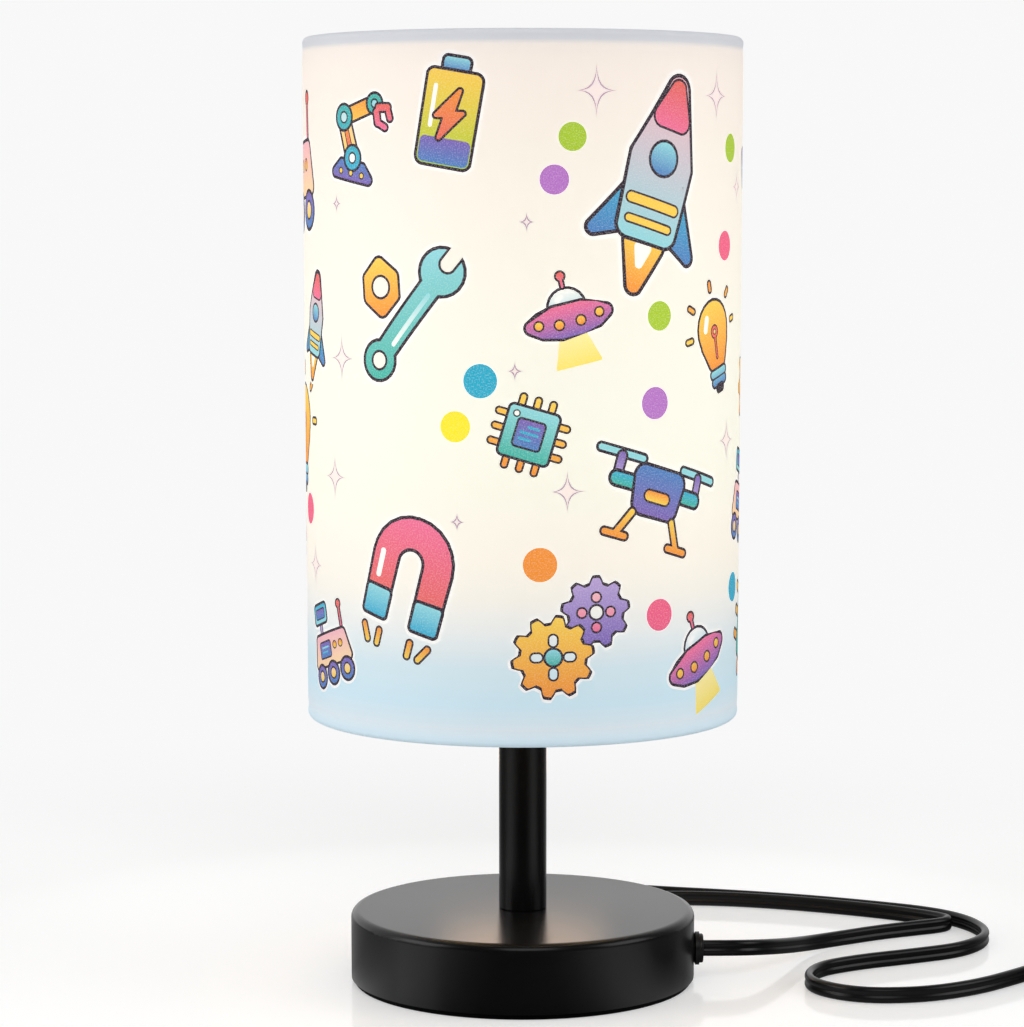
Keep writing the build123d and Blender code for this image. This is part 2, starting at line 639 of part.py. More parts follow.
def plug_body():
    """Moulded two-blade plug: a tapered neck, then a flat body with finger hollows."""
    neck_end, neck_corner = (15.0, 10.0), 4.0
    side_r, face_r, hollow_r, hollow_depth = 4.5, 2.5, 18.0, 0.8
    neck_face = Plane.XZ.offset(PLUG_NECK_L) * RectangleRounded(*neck_end, neck_corner)
    neck = loft([Plane.XZ * Circle(CORD_D / 2 + 0.6), neck_face])
    body = Pos(0, -PLUG_NECK_L - PLUG_L / 2, 0) * Box(PLUG_W, PLUG_L, PLUG_H)
    body = fillet(body.edges().filter_by(Axis.Y), side_r)
    body = fillet(body.edges().group_by(Axis.Y)[-1], face_r)
    for side in (-1, 1):
        centre_z = side * (PLUG_H / 2 + hollow_r - hollow_depth)
        body -= Pos(0, -PLUG_NECK_L - PLUG_L / 2 + 2, centre_z) * Sphere(hollow_r)
    return Pos(TAIL_END[0], TAIL_END[1], PLUG_H / 2) * (neck + body)


def plug_blades():
    """Flat brass blades with bevelled tips and a round hole near the tip."""
    tip_bevel, hole_r, hole_from_tip = 0.45, 1.6, 4.5
    blade = Pos(0, -BLADE_L / 2, 0) * Box(BLADE_T, BLADE_L, BLADE_W)
    blade = chamfer(blade.edges().group_by(Axis.Y)[0].filter_by(Axis.Z), tip_bevel)
    blade -= Pos(0, hole_from_tip - BLADE_L, 0) * Rot(0, 90, 0) * Cylinder(hole_r, 4 * BLADE_T)
    face = Pos(TAIL_END[0], TAIL_END[1] - PLUG_NECK_L - PLUG_L, PLUG_H / 2)
    return Compound(children=[face * Pos(side * BLADE_SPACING / 2, 0, 0) * blade for side in (-1, 1)])


# ---- the nodes, one file each ----
PIECES = [
    base_pad, base_plate, base_screws, base_shell, base_weight, cord_gland, touch_module, supply_leads,
    lamp_leads, sense_lug, sense_lead, threaded_rod, rod_washer, lock_washer, rod_nut, pole, holder_nut,
    holder_cap, holder_body, contact_block, terminal_screws, centre_contact, screw_shell, shell_rivets,
    bulb_cap, bulb_insulator, bulb_contact, bulb_housing, bulb_globe, led_board, shade_fabric,
    shade_liner, shade_top_wire, shade_bottom_wire, spider_arms, shade_carrier, shade_ring, cord,
    cord_coil, coil_tie, cord_tail, plug_body, plug_blades,
]

os.makedirs("parts", exist_ok=True)
for piece in PIECES:
    export_step(piece(), f"parts/{piece.__name__}.step")
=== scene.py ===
"""The looks of a table lamp: printed drum shade, slim pole, round base, flat twin cord.

Lengths are in millimetres until a mesh is made, when MM turns them into metres.
"""
import math
import bmesh
import bpy
import numpy as np
from mathutils.geometry import delaunay_2d_cdt
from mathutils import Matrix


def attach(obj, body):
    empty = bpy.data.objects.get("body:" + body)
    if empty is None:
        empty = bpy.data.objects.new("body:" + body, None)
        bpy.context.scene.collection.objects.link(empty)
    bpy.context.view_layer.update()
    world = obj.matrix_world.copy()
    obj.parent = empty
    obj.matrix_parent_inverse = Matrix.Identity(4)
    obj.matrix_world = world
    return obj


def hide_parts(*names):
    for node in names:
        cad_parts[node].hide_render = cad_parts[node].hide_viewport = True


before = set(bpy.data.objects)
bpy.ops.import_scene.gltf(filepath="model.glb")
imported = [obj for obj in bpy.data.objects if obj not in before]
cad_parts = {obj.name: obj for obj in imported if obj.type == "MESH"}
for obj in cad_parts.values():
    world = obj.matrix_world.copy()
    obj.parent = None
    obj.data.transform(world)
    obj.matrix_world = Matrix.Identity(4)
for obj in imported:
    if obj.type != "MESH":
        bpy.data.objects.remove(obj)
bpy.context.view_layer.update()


def add_object(name, data):
    made = bpy.data.objects.new(name, data)
    bpy.context.scene.collection.objects.link(made)
    return made


# ---- Camera ----
# Stands in front of the lamp at the height of its shade and looks a little down on it.
# The shift keeps the whole lamp in the frame without more tilt.

EYE = (0.0, -0.9545, 0.2308)
PITCH_DOWN = 0.1444
lens = bpy.data.cameras.new("camera")
lens.lens, lens.sensor_width = 115.93, 36.0
lens.shift_x, lens.shift_y = -0.01046, 0.1528
lens.clip_start, lens.clip_end = 0.01, 100.0
camera = add_object("camera", lens)
camera.location = EYE
camera.rotation_euler = (math.pi / 2 - PITCH_DOWN, 0.0, 0.0)
bpy.context.scene.camera = camera

# ---- Coated base and pole ----
# A deep-drawn steel cup and a steel tube, both powder coated in satin black. The coat shows the
# fine orange-peel of powder that has flowed out, and small changes of gloss from handling.


def srgb(hexcode):
    """Linear red, green and blue of a colour written as six hex digits."""
    value = np.array([int(hexcode[i:i + 2], 16) for i in (0, 2, 4)]) / 255
    return tuple(np.where(value <= 0.04045, value / 12.92, ((value + 0.055) / 1.055) ** 2.4))


def add_node(tree, kind, inputs=(), **settings):
    """A shader node of a kind with its settings, and its inputs by socket: values or other sockets."""
    made = tree.nodes.new("ShaderNode" + kind)
    for name, value in settings.items():
        setattr(made, name, value)
    for name, value in dict(inputs).items():
        if isinstance(value, bpy.types.NodeSocket):
            tree.links.new(value, made.inputs[name])
        else:
            made.inputs[name].default_value = value
    return made


def new_group(name, inputs, outputs):
    """An empty node group with the named inputs, each with its start value, and outputs."""
    kinds = {float: "NodeSocketFloat", tuple: "NodeSocketColor", list: "NodeSocketVector"}
    tree = bpy.data.node_groups.new(name, "ShaderNodeTree")
    for title, start in inputs.items():
        socket = tree.interface.new_socket(name=title, in_out="INPUT", socket_type=kinds[type(start)])
        socket.default_value = (*start, 1.0) if type(start) is tuple else start
    for title, kind in outputs.items():
        tree.interface.new_socket(name=title, in_out="OUTPUT", socket_type=kinds[kind])
    return tree, tree.nodes.new("NodeGroupInput"), tree.nodes.new("NodeGroupOutput")


def math_node(tree, operation, *values):
    return add_node(tree, "Math", enumerate(values), operation=operation).outputs[0]


def range_node(tree, value, low, high, start=0.0, end=1.0, kind="LINEAR"):
    """The value carried over from low and high to start and end, and held beyond them."""
    return add_node(tree, "MapRange", {0: value, 1: low, 2: high, 3: start, 4: end},
                    interpolation_type=kind).outputs[0]


def mix_values(tree, share, first, second):
    return add_node(tree, "Mix", {0: share, 2: first, 3: second}).outputs[0]


def mix_colours(tree, share, first, second, **settings):
    return add_node(tree, "Mix", {0: share, 6: first, 7: second}, data_type="RGBA", **settings).outputs[2]


def surface_group():
    """Fine grain as a bump, and broad patches that shift the tone and the roughness. Stretch
    multiplies the coordinates, so that a small number draws the grain out along that axis."""
    tree, given, out = new_group(
        "surface_grain",
        {"Tone": (0.5, 0.5, 0.5), "Patch Tone": (0.5, 0.5, 0.5), "Roughness": 0.5, "Spread": 0.1,
         "Grain Scale": 1000.0, "Grain Depth": 0.00001, "Patch Scale": 40.0, "Stretch": [1.0, 1.0, 1.0]},
        {"Color": tuple, "Roughness": float, "Normal": list})
    place = add_node(tree, "TexCoord").outputs["Object"]
    drawn = add_node(tree, "VectorMath", {0: place, 1: given.outputs["Stretch"]},
                     operation="MULTIPLY").outputs[0]
    grain = add_node(tree, "TexNoise", {"Vector": drawn, "Scale": given.outputs["Grain Scale"],
                                        "Detail": 3.0}).outputs["Fac"]
    patch = add_node(tree, "TexNoise", {"Vector": place, "Scale": given.outputs["Patch Scale"],
                                        "Detail": 2.0}).outputs["Fac"]
    patch = range_node(tree, patch, 0.3, 0.7)
    tone = mix_colours(tree, patch, given.outputs["Tone"], given.outputs["Patch Tone"])
    shift = math_node(tree, "MULTIPLY", math_node(tree, "SUBTRACT", patch, 0.5), given.outputs["Spread"])
    rough = math_node(tree, "ADD", shift, given.outputs["Roughness"])
    bump = add_node(tree, "Bump", {"Height": grain, "Distance": given.outputs["Grain Depth"]})
    tree.links.new(tone, out.inputs["Color"])
    tree.links.new(rough, out.inputs["Roughness"])
    tree.links.new(bump.outputs[0], out.inputs["Normal"])
    return tree


surface_grain = surface_group()


def new_material(name, **constants):
    """A material, its tree and its shader, with constants on the shader's own sockets, each named
    with _ for a space."""
    made = bpy.data.materials.new(name)
    made.use_nodes = True
    shader = made.node_tree.nodes["Principled BSDF"]
    for socket, value in constants.items():
        shader.inputs[socket.replace("_", " ")].default_value = value
    return made, made.node_tree, shader


def finish(name, tone, patch_tone, roughness, spread, grain, depth, patches=40, stretch=(1, 1, 1),
           **constants):
    """Material with the grain group in its own values: grain and patches are features a metre,
    depth is in micrometres."""
    made, tree, shader = new_material(name, **constants)
    look = add_node(tree, "Group", node_tree=surface_grain)
    values = {"Tone": (*srgb(tone), 1), "Patch Tone": (*srgb(patch_tone), 1), "Roughness": roughness,
              "Spread": spread, "Grain Scale": grain, "Grain Depth": depth * 1e-6, "Patch Scale": patches,
              "Stretch": stretch}
    for socket, value in values.items():
        look.inputs[socket].default_value = value
    for output, socket in {"Color": "Base Color", "Roughness": "Roughness", "Normal": "Normal"}.items():
        tree.links.new(look.outputs[output], shader.inputs[socket])
    return made


def dress(material, *nodes):
    """Gives CAD nodes, whose shape stays, a material."""
    for node in nodes:
        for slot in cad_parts[node].material_slots:
            slot.material = material


powder_coat = finish("powder_coat", "0e0e0f", "131314", 0.24, 0.04, 2600, 6, 30, Specular_IOR_Level=0.26)
dress(powder_coat, "base_shell", "pole")

# ---- Inside the base ----
# A foam pad hides a zinc-plated plate with three screws. Above it lie the cast-iron weight that
# steadies the lamp and the touch module, wired to the cord, to the rod's lug and to the holder.

foam = finish("foam", "060607", "0b0b0c", 0.95, 0.04, 2400, 120, 200, Specular_IOR_Level=0.1)
zinc = finish("zinc_plate", "a9b0b6", "8f979f", 0.34, 0.16, 900, 6, 90, (1, 6, 1), Metallic=1)
cast_iron = finish("cast_iron", "3a3a3c", "2c2a2a", 0.62, 0.2, 700, 90, 120, Metallic=0.7)
module_case = finish("module_case", "d9d8d2", "cfcec8", 0.5, 0.08, 2200, 12)
insulation = finish("wire_insulation", "e3e2de", "d8d7d0", 0.38, 0.08, 900, 10)
brass = finish("brass", "c9a35a", "b48b45", 0.26, 0.14, 1400, 6, 160, (1, 1, 5), Metallic=1)
dress(foam, "base_pad")
dress(zinc, "base_plate", "base_screws", "threaded_rod", "rod_washer", "lock_washer", "rod_nut")
dress(zinc, "holder_nut")
dress(cast_iron, "base_weight")
dress(module_case, "touch_module")
dress(insulation, "supply_leads", "lamp_leads", "sense_lead")
dress(brass, "sense_lug")

# ---- Cord outlet ----
# A push-in strain relief moulded in black nylon: a stepped button that snaps into the shell's
# flatted hole and grips the cord behind it. It stands a little proud of the shell.

nylon = finish("black_nylon", "0f0f10", "151516", 0.42, 0.1, 1800, 20, 120, Specular_IOR_Level=0.3)
dress(nylon, "cord_gland")

# ---- Lamp holder ----
# Black phenolic: a cup on the pole carries a skirt whose outside is threaded for the retaining
# ring. Inside, a ceramic block holds the brass screw shell and the sprung centre contact.

MM = 0.001


def solid(name, rings, material, crease=35.0, closed=False):
    """Closed mesh piece from rings of points in millimetres, joined each to the next and, if
    closed, the last to the first: doubles merged, faces turned outwards, smooth except over
    edges sharper than crease degrees."""
    rows, columns = rings.shape[:2]
    row = np.arange(rows if closed else rows - 1)[:, None]
    column = np.arange(columns)[None, :]
    this, onward, beside = row * columns, (row + 1) % rows * columns, (column + 1) % columns
    faces = np.stack([this + column, this + beside, onward + beside, onward + column], -1)
    mesh = bpy.data.meshes.new(name)
    mesh.from_pydata((rings.reshape(-1, 3) * MM).tolist(), [], faces.reshape(-1, 4).tolist())
    edit = bmesh.new()
    edit.from_mesh(mesh)
    bmesh.ops.remove_doubles(edit, verts=edit.verts, dist=1e-7)
    bmesh.ops.recalc_face_normals(edit, faces=edit.faces)
    edit.to_mesh(mesh)
    edit.free()
    mesh.shade_smooth()
    mesh.set_sharp_from_angle(angle=math.radians(crease))
    mesh.materials.append(material)
    return add_object(name, mesh)


def around(steps):
    """Angles that part a full turn into equal steps."""
    return np.arange(steps) * 2 * math.pi / steps


def polar(radius, angle, *height):
    """Points at a radius and an angle and, where it is given, a height."""
    return np.stack([radius * np.cos(angle), radius * np.sin(angle), *height], -1)


def rounded(points, radius, closed=True, turn=15.0):
    """Outline whose corners are arcs of the given radius, or as near as their runs allow."""
    points = np.asarray(points, float)
    radii = np.broadcast_to(radius, len(points))
    kept = []
    for i, corner in enumerate(points):
        back, on = points[i - 1] - corner, points[(i + 1) % len(points)] - corner
        if radii[i] == 0 or (not closed and i in (0, len(points) - 1)):
            kept.append(corner[None])
            continue
        runs = np.linalg.norm([back, on], axis=1)
        back, on = back / runs[0], on / runs[1]
        half = math.acos(np.clip(back @ on, -1, 1)) / 2
        reach = min(radii[i] / math.tan(half), 0.45 * runs.min())
        centre = corner + (back + on) / np.linalg.norm(back + on) * reach / math.cos(half)
        start, end, sweep = corner + back * reach - centre, corner + on * reach - centre, math.pi - 2 * half
        share = np.linspace(0, 1, max(3, round(math.degrees(sweep) / turn) + 1))[:, None]
        arc = np.sin((1 - share) * sweep) * start + np.sin(share * sweep) * end
        kept.append(centre + arc / math.sin(sweep))
    return np.vstack(kept)


def divided(outline, spacing):
    """The closed outline with no step longer than the spacing."""
    ahead = np.roll(outline, -1, axis=0)
    counts = np.maximum(1, np.ceil(np.linalg.norm(ahead - outline, axis=1) / spacing)).astype(int)
    first = np.repeat(np.arange(len(outline)), counts)
    share = (np.arange(len(first)) - np.repeat(np.cumsum(counts) - counts, counts)) / counts[first]
    return outline[first] + (ahead - outline)[first] * share[:, None]


def spun(name, outline, material, steps, carve):
    """Turns a closed (radius, height) outline about Z. carve(angle, radius, height) gives what a
    thread or rib adds to the radius there."""
    angle = around(steps)[None, :]
    radius, height = (outline[:, [i]] + 0 * angle for i in (0, 1))
    radius = radius + carve(angle, radius, height)
    return solid(name, polar(radius, angle, height), material, closed=True)


def thread(pitch, depth, low, high, inner, outer, sign=-1):
    """Helical groove between two heights on the faces between two radii: a raised cosine of the
    height less one pitch a turn, faded out over half a pitch at both ends."""
    def carve(angle, radius, height):
        wave = 0.5 - 0.5 * np.cos(2 * math.pi * (height - low) / pitch - angle)
        fade = np.clip((height - low) / pitch * 2, 0, 1) * np.clip((high - height) / pitch * 2, 0, 1)
        return sign * depth * wave * fade * ((radius > inner) & (radius < outer))
    return carve


SKIRT_R, SKIRT_TOP = 19.0, 138.0
SKIRT_PITCH, SKIRT_GROOVE = 2.0, 0.55
E26_PITCH, E26_DEPTH = 3.63, 0.9
skirt_outline = rounded([(15.5, 103.0), (17.3, 103.0), (17.3, 108.0), (SKIRT_R, 108.0), (SKIRT_R, 111.0),
                         (22.5, 112.5), (22.5, 115.0), (SKIRT_R, 115.0), (SKIRT_R, SKIRT_TOP),
                         (14.8, SKIRT_TOP), (14.8, 110.0), (15.5, 110.0)], 0.35)
moulding = finish("black_moulding", "161617", "1c1c1e", 0.34, 0.1, 1500, 15, 90)
threaded_skirt = spun("threaded_skirt", divided(skirt_outline, 0.25), moulding, 96,
                      thread(SKIRT_PITCH, SKIRT_GROOVE, 117.0, SKIRT_TOP - 1.0, 18.5, 19.5))
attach(threaded_skirt, "stand")
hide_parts("holder_body")
dress(moulding, "holder_cap")

shell_outline = rounded([(8.2, 110.0), (14.4, 110.0), (14.4, 136.0), (13.7, 136.0), (13.7, 110.7),
                         (8.2, 110.7)], 0.2)
screw_sleeve = spun("screw_sleeve", divided(shell_outline, 0.3), brass, 96,
                    thread(E26_PITCH, E26_DEPTH, 113.0, 135.0, 13.0, 15.0))
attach(screw_sleeve, "stand")
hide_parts("screw_shell")
ceramic = finish("ceramic", "e6e1d3", "d9d3c3", 0.72, 0.1, 1600, 30, 150)
dress(ceramic, "contact_block")
dress(brass, "terminal_screws", "centre_contact", "shell_rivets")

# ---- Bulb ----
# A candle bulb on an E26 cap. The cap is rolled from nickel-plated sheet, black glass insulates
# its centre contact, and a white housing carries the LED board under a blown opal globe.

nickel = finish("nickel", "cfcbc2", "b9b4aa", 0.2, 0.12, 1200, 5, 140, (1, 1, 4), Metallic=1)
black_glass = finish("black_glass", "060608", "0b0b0e", 0.1, 0.05, 300, 10, 200)
housing = finish("white_housing", "ecebe6", "e2e1db", 0.3, 0.08, 1500, 8)
board = finish("board", "e9e9e4", "d3d6cf", 0.45, 0.1, 1200, 10)
cap_outline = rounded([(8.0, 115.4), (11.5, 115.4), (13.1, 117.2), (13.1, 140.0), (12.7, 140.0),
                       (12.7, 117.4), (11.3, 115.8), (8.0, 115.8)], 0.15)
screw_cap = spun("screw_cap", divided(cap_outline, 0.3), nickel, 96,
                 thread(E26_PITCH, E26_DEPTH, 117.5, 137.0, 12.0, 14.0))
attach(screw_cap, "bulb")
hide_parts("bulb_cap")
dress(black_glass, "bulb_insulator")
dress(brass, "bulb_contact")
dress(housing, "bulb_housing")
dress(board, "led_board")

opal = finish("opal_glow", "fff3dc", "ffeccc", 0.28, 0.05, 500, 6, 60,
              Emission_Color=(*srgb("ffd9a0"), 1), Emission_Strength=1.6)
dress(opal, "bulb_globe")
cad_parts["bulb_globe"].visible_shadow = False

# ---- Shade frame ----
# Two rings of round steel wire and three bent arms welded to the lower one. The arms carry a
# pressed ring that rests on the holder's shoulder. All of it is powder coated in white.

white_coat = finish("white_powder_coat", "ecebe7", "e2e0da", 0.42, 0.1, 1800, 20, 150)
# The clear liner glows with a warm emission: painted bulb light on the inside of the shade.
glowing_film = finish("shade_film", "f6f1e6", "f1ebdd", 0.34, 0.1, 700, 10, 60,
              Emission_Color=(*srgb("ffd9a8"), 1), Emission_Strength=0.3)
dress(white_coat, "shade_top_wire", "shade_bottom_wire", "spider_arms", "shade_carrier")
dress(glowing_film, "shade_liner")

# ---- Retaining ring ----
# Black moulded ring with a flange and thirty finger ribs. Its bore is threaded and screws down
# the skirt until it clamps the shade's carrier.

RING_BORE_R, RING_HUB_R, RING_FLANGE_R = 19.3, 22.6, 25.0
RING_LOW, RING_HIGH = 116.2, 124.2
RING_RIBS = 30
ring_outline = rounded([(RING_BORE_R, RING_LOW), (RING_FLANGE_R, RING_LOW), (RING_FLANGE_R, RING_LOW + 2),
                        (RING_HUB_R, RING_LOW + 2.6), (RING_HUB_R, RING_HIGH), (RING_BORE_R, RING_HIGH)],
                       [0.2, 0.5, 0.5, 0.4, 0.8, 0.4])


def ribs_and_thread(angle, radius, height):
    """Rounded ribs stand 0.8 out of the hub, fading at both ends; the bore has the skirt's thread."""
    rib = np.clip(np.cos(RING_RIBS * angle), 0, 1) ** 0.7
    rise = np.clip((height - RING_LOW - 2.2) / 0.8, 0, 1) * np.clip((RING_HIGH - 0.3 - height) / 0.9, 0, 1)
    outside = 0.8 * rib * rise * (radius > RING_HUB_R - 0.9) * (radius < RING_HUB_R + 0.6)
    bore = thread(SKIRT_PITCH, SKIRT_GROOVE, RING_LOW + 0.5, RING_HIGH - 0.5, 19.0, 19.6, 1)
    return outside + bore(angle, radius, height)


retaining_nut = spun("retaining_nut", divided(ring_outline, 0.3), moulding, RING_RIBS * 12, ribs_and_thread)
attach(retaining_nut, "retaining_ring")
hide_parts("shade_ring")

# ---- Printed shade ----
# One sheet of fine woven fabric, printed all over, bonded to a clear liner and rolled into a
# drum. Its edges are hooked over the wire rings and turned in, and its ends lap at the back.

WALL_R = 62.3
HEM_CENTRE_R, HEM_LOW, HEM_HIGH, HEM_CURL_R = 60.9, 81.1, 271.7, 1.4
TURNED_R, TURNED_TO = 61.3, 7.0
HEM_DIP = 0.16
FABRIC_T = 0.4
LAP_LENGTH, LAP_RAMP, LAP_RISE = 8.0, 3.5, 0.42
AROUND = 2 * math.pi * WALL_R
HALF_SHEET = (AROUND + LAP_LENGTH) / 2


def hem_line():
    """(radius, height) of the cloth's middle from its turned-in edge, round the lower wire, to the
    foot of the wall: a straight strip, a short slant, 240 degrees of a circle and a shallow dip
    where the cloth spans from the wire to the edge of the liner."""
    leave = math.radians(120)
    slant = (HEM_CENTRE_R + HEM_CURL_R * math.cos(leave), HEM_LOW + HEM_CURL_R * math.sin(leave))
    knee = (TURNED_R, slant[1] + (TURNED_R - slant[0]) / math.tan(math.radians(60)))
    strip = rounded([(TURNED_R, HEM_LOW + TURNED_TO), knee, slant], 0.6, closed=False)
    turn = np.radians(np.arange(135, 361, 15))
    curl = polar(HEM_CURL_R, turn) + (HEM_CENTRE_R, HEM_LOW)
    rise = np.arange(0.6, 4.3, 0.6)
    dip = np.stack([WALL_R - HEM_DIP * np.sin(math.pi * rise / 4.2) ** 2, HEM_LOW + rise], 1)
    return np.vstack([strip, curl, dip])


lower_hem = hem_line()
upper_hem = (lower_hem * (1, -1) + (0, HEM_LOW + HEM_HIGH))[::-1]
profile = np.vstack([lower_hem, upper_hem])
profile_y = np.r_[0, np.cumsum(np.linalg.norm(np.diff(profile, axis=0), axis=1))]
profile_y += lower_hem[-1, 1] - profile_y[len(lower_hem) - 1]
sheet_low, sheet_high = profile_y[0], profile_y[-1]


def rolled(xy):
    """The flat cloth's points (x along the drum from its front, y up) on the drum. y runs along the
    profile, and at the right end the length of the lap rises over the left end."""
    across, along = xy[:, 0], xy[:, 1]
    radius, height = (np.interp(along, profile_y, profile[:, i]) for i in (0, 1))
    slope = np.gradient(profile, profile_y, axis=0)
    out_r = np.interp(along, profile_y, slope[:, 1])
    out_z = np.interp(along, profile_y, -slope[:, 0])
    share = np.clip((across - HALF_SHEET + LAP_LENGTH + LAP_RAMP) / LAP_RAMP, 0, 1)
    rise = LAP_RISE * share * share * (3 - 2 * share) / np.hypot(out_r, out_z)
    radius, height = radius + rise * out_r, height + rise * out_z
    angle = across / WALL_R - math.pi / 2
    return polar(radius, angle, height)


PLUM, PAPER = "2a1a2e", None
ROSE, PEACH, PINK, RED, ORANGE, GOLD = "f3b7c4", "fbd7a9", "ef6f9c", "e7665a", "f59331", "f9cf4f"
SKY, CYAN, BLUE, TEAL, VIOLET, WHITE = "8fd5e3", "35aed4", "4a7fc4", "3fb3a8", "7b63b8", "ffffff"
LIME, LILAC = "a9cb2e", "b9a3dd"


def bow(thick, centre, radius, start, end, bars):
    """Arc made of short bars with round ends: half its width, its centre and radius, and the angles
    in degrees where it starts and ends."""
    turn = np.radians(np.linspace(start, end, bars + 1))
    spots = polar(radius, turn) + centre
    return [(thick, *pair) for pair in zip(spots[:-1], spots[1:])]


def both(*shapes):
    """The shapes, then the same on the other side of x = 0."""
    return [*shapes, *((radius, *((-x, y) for x, y in corners)) for radius, *corners in shapes)]


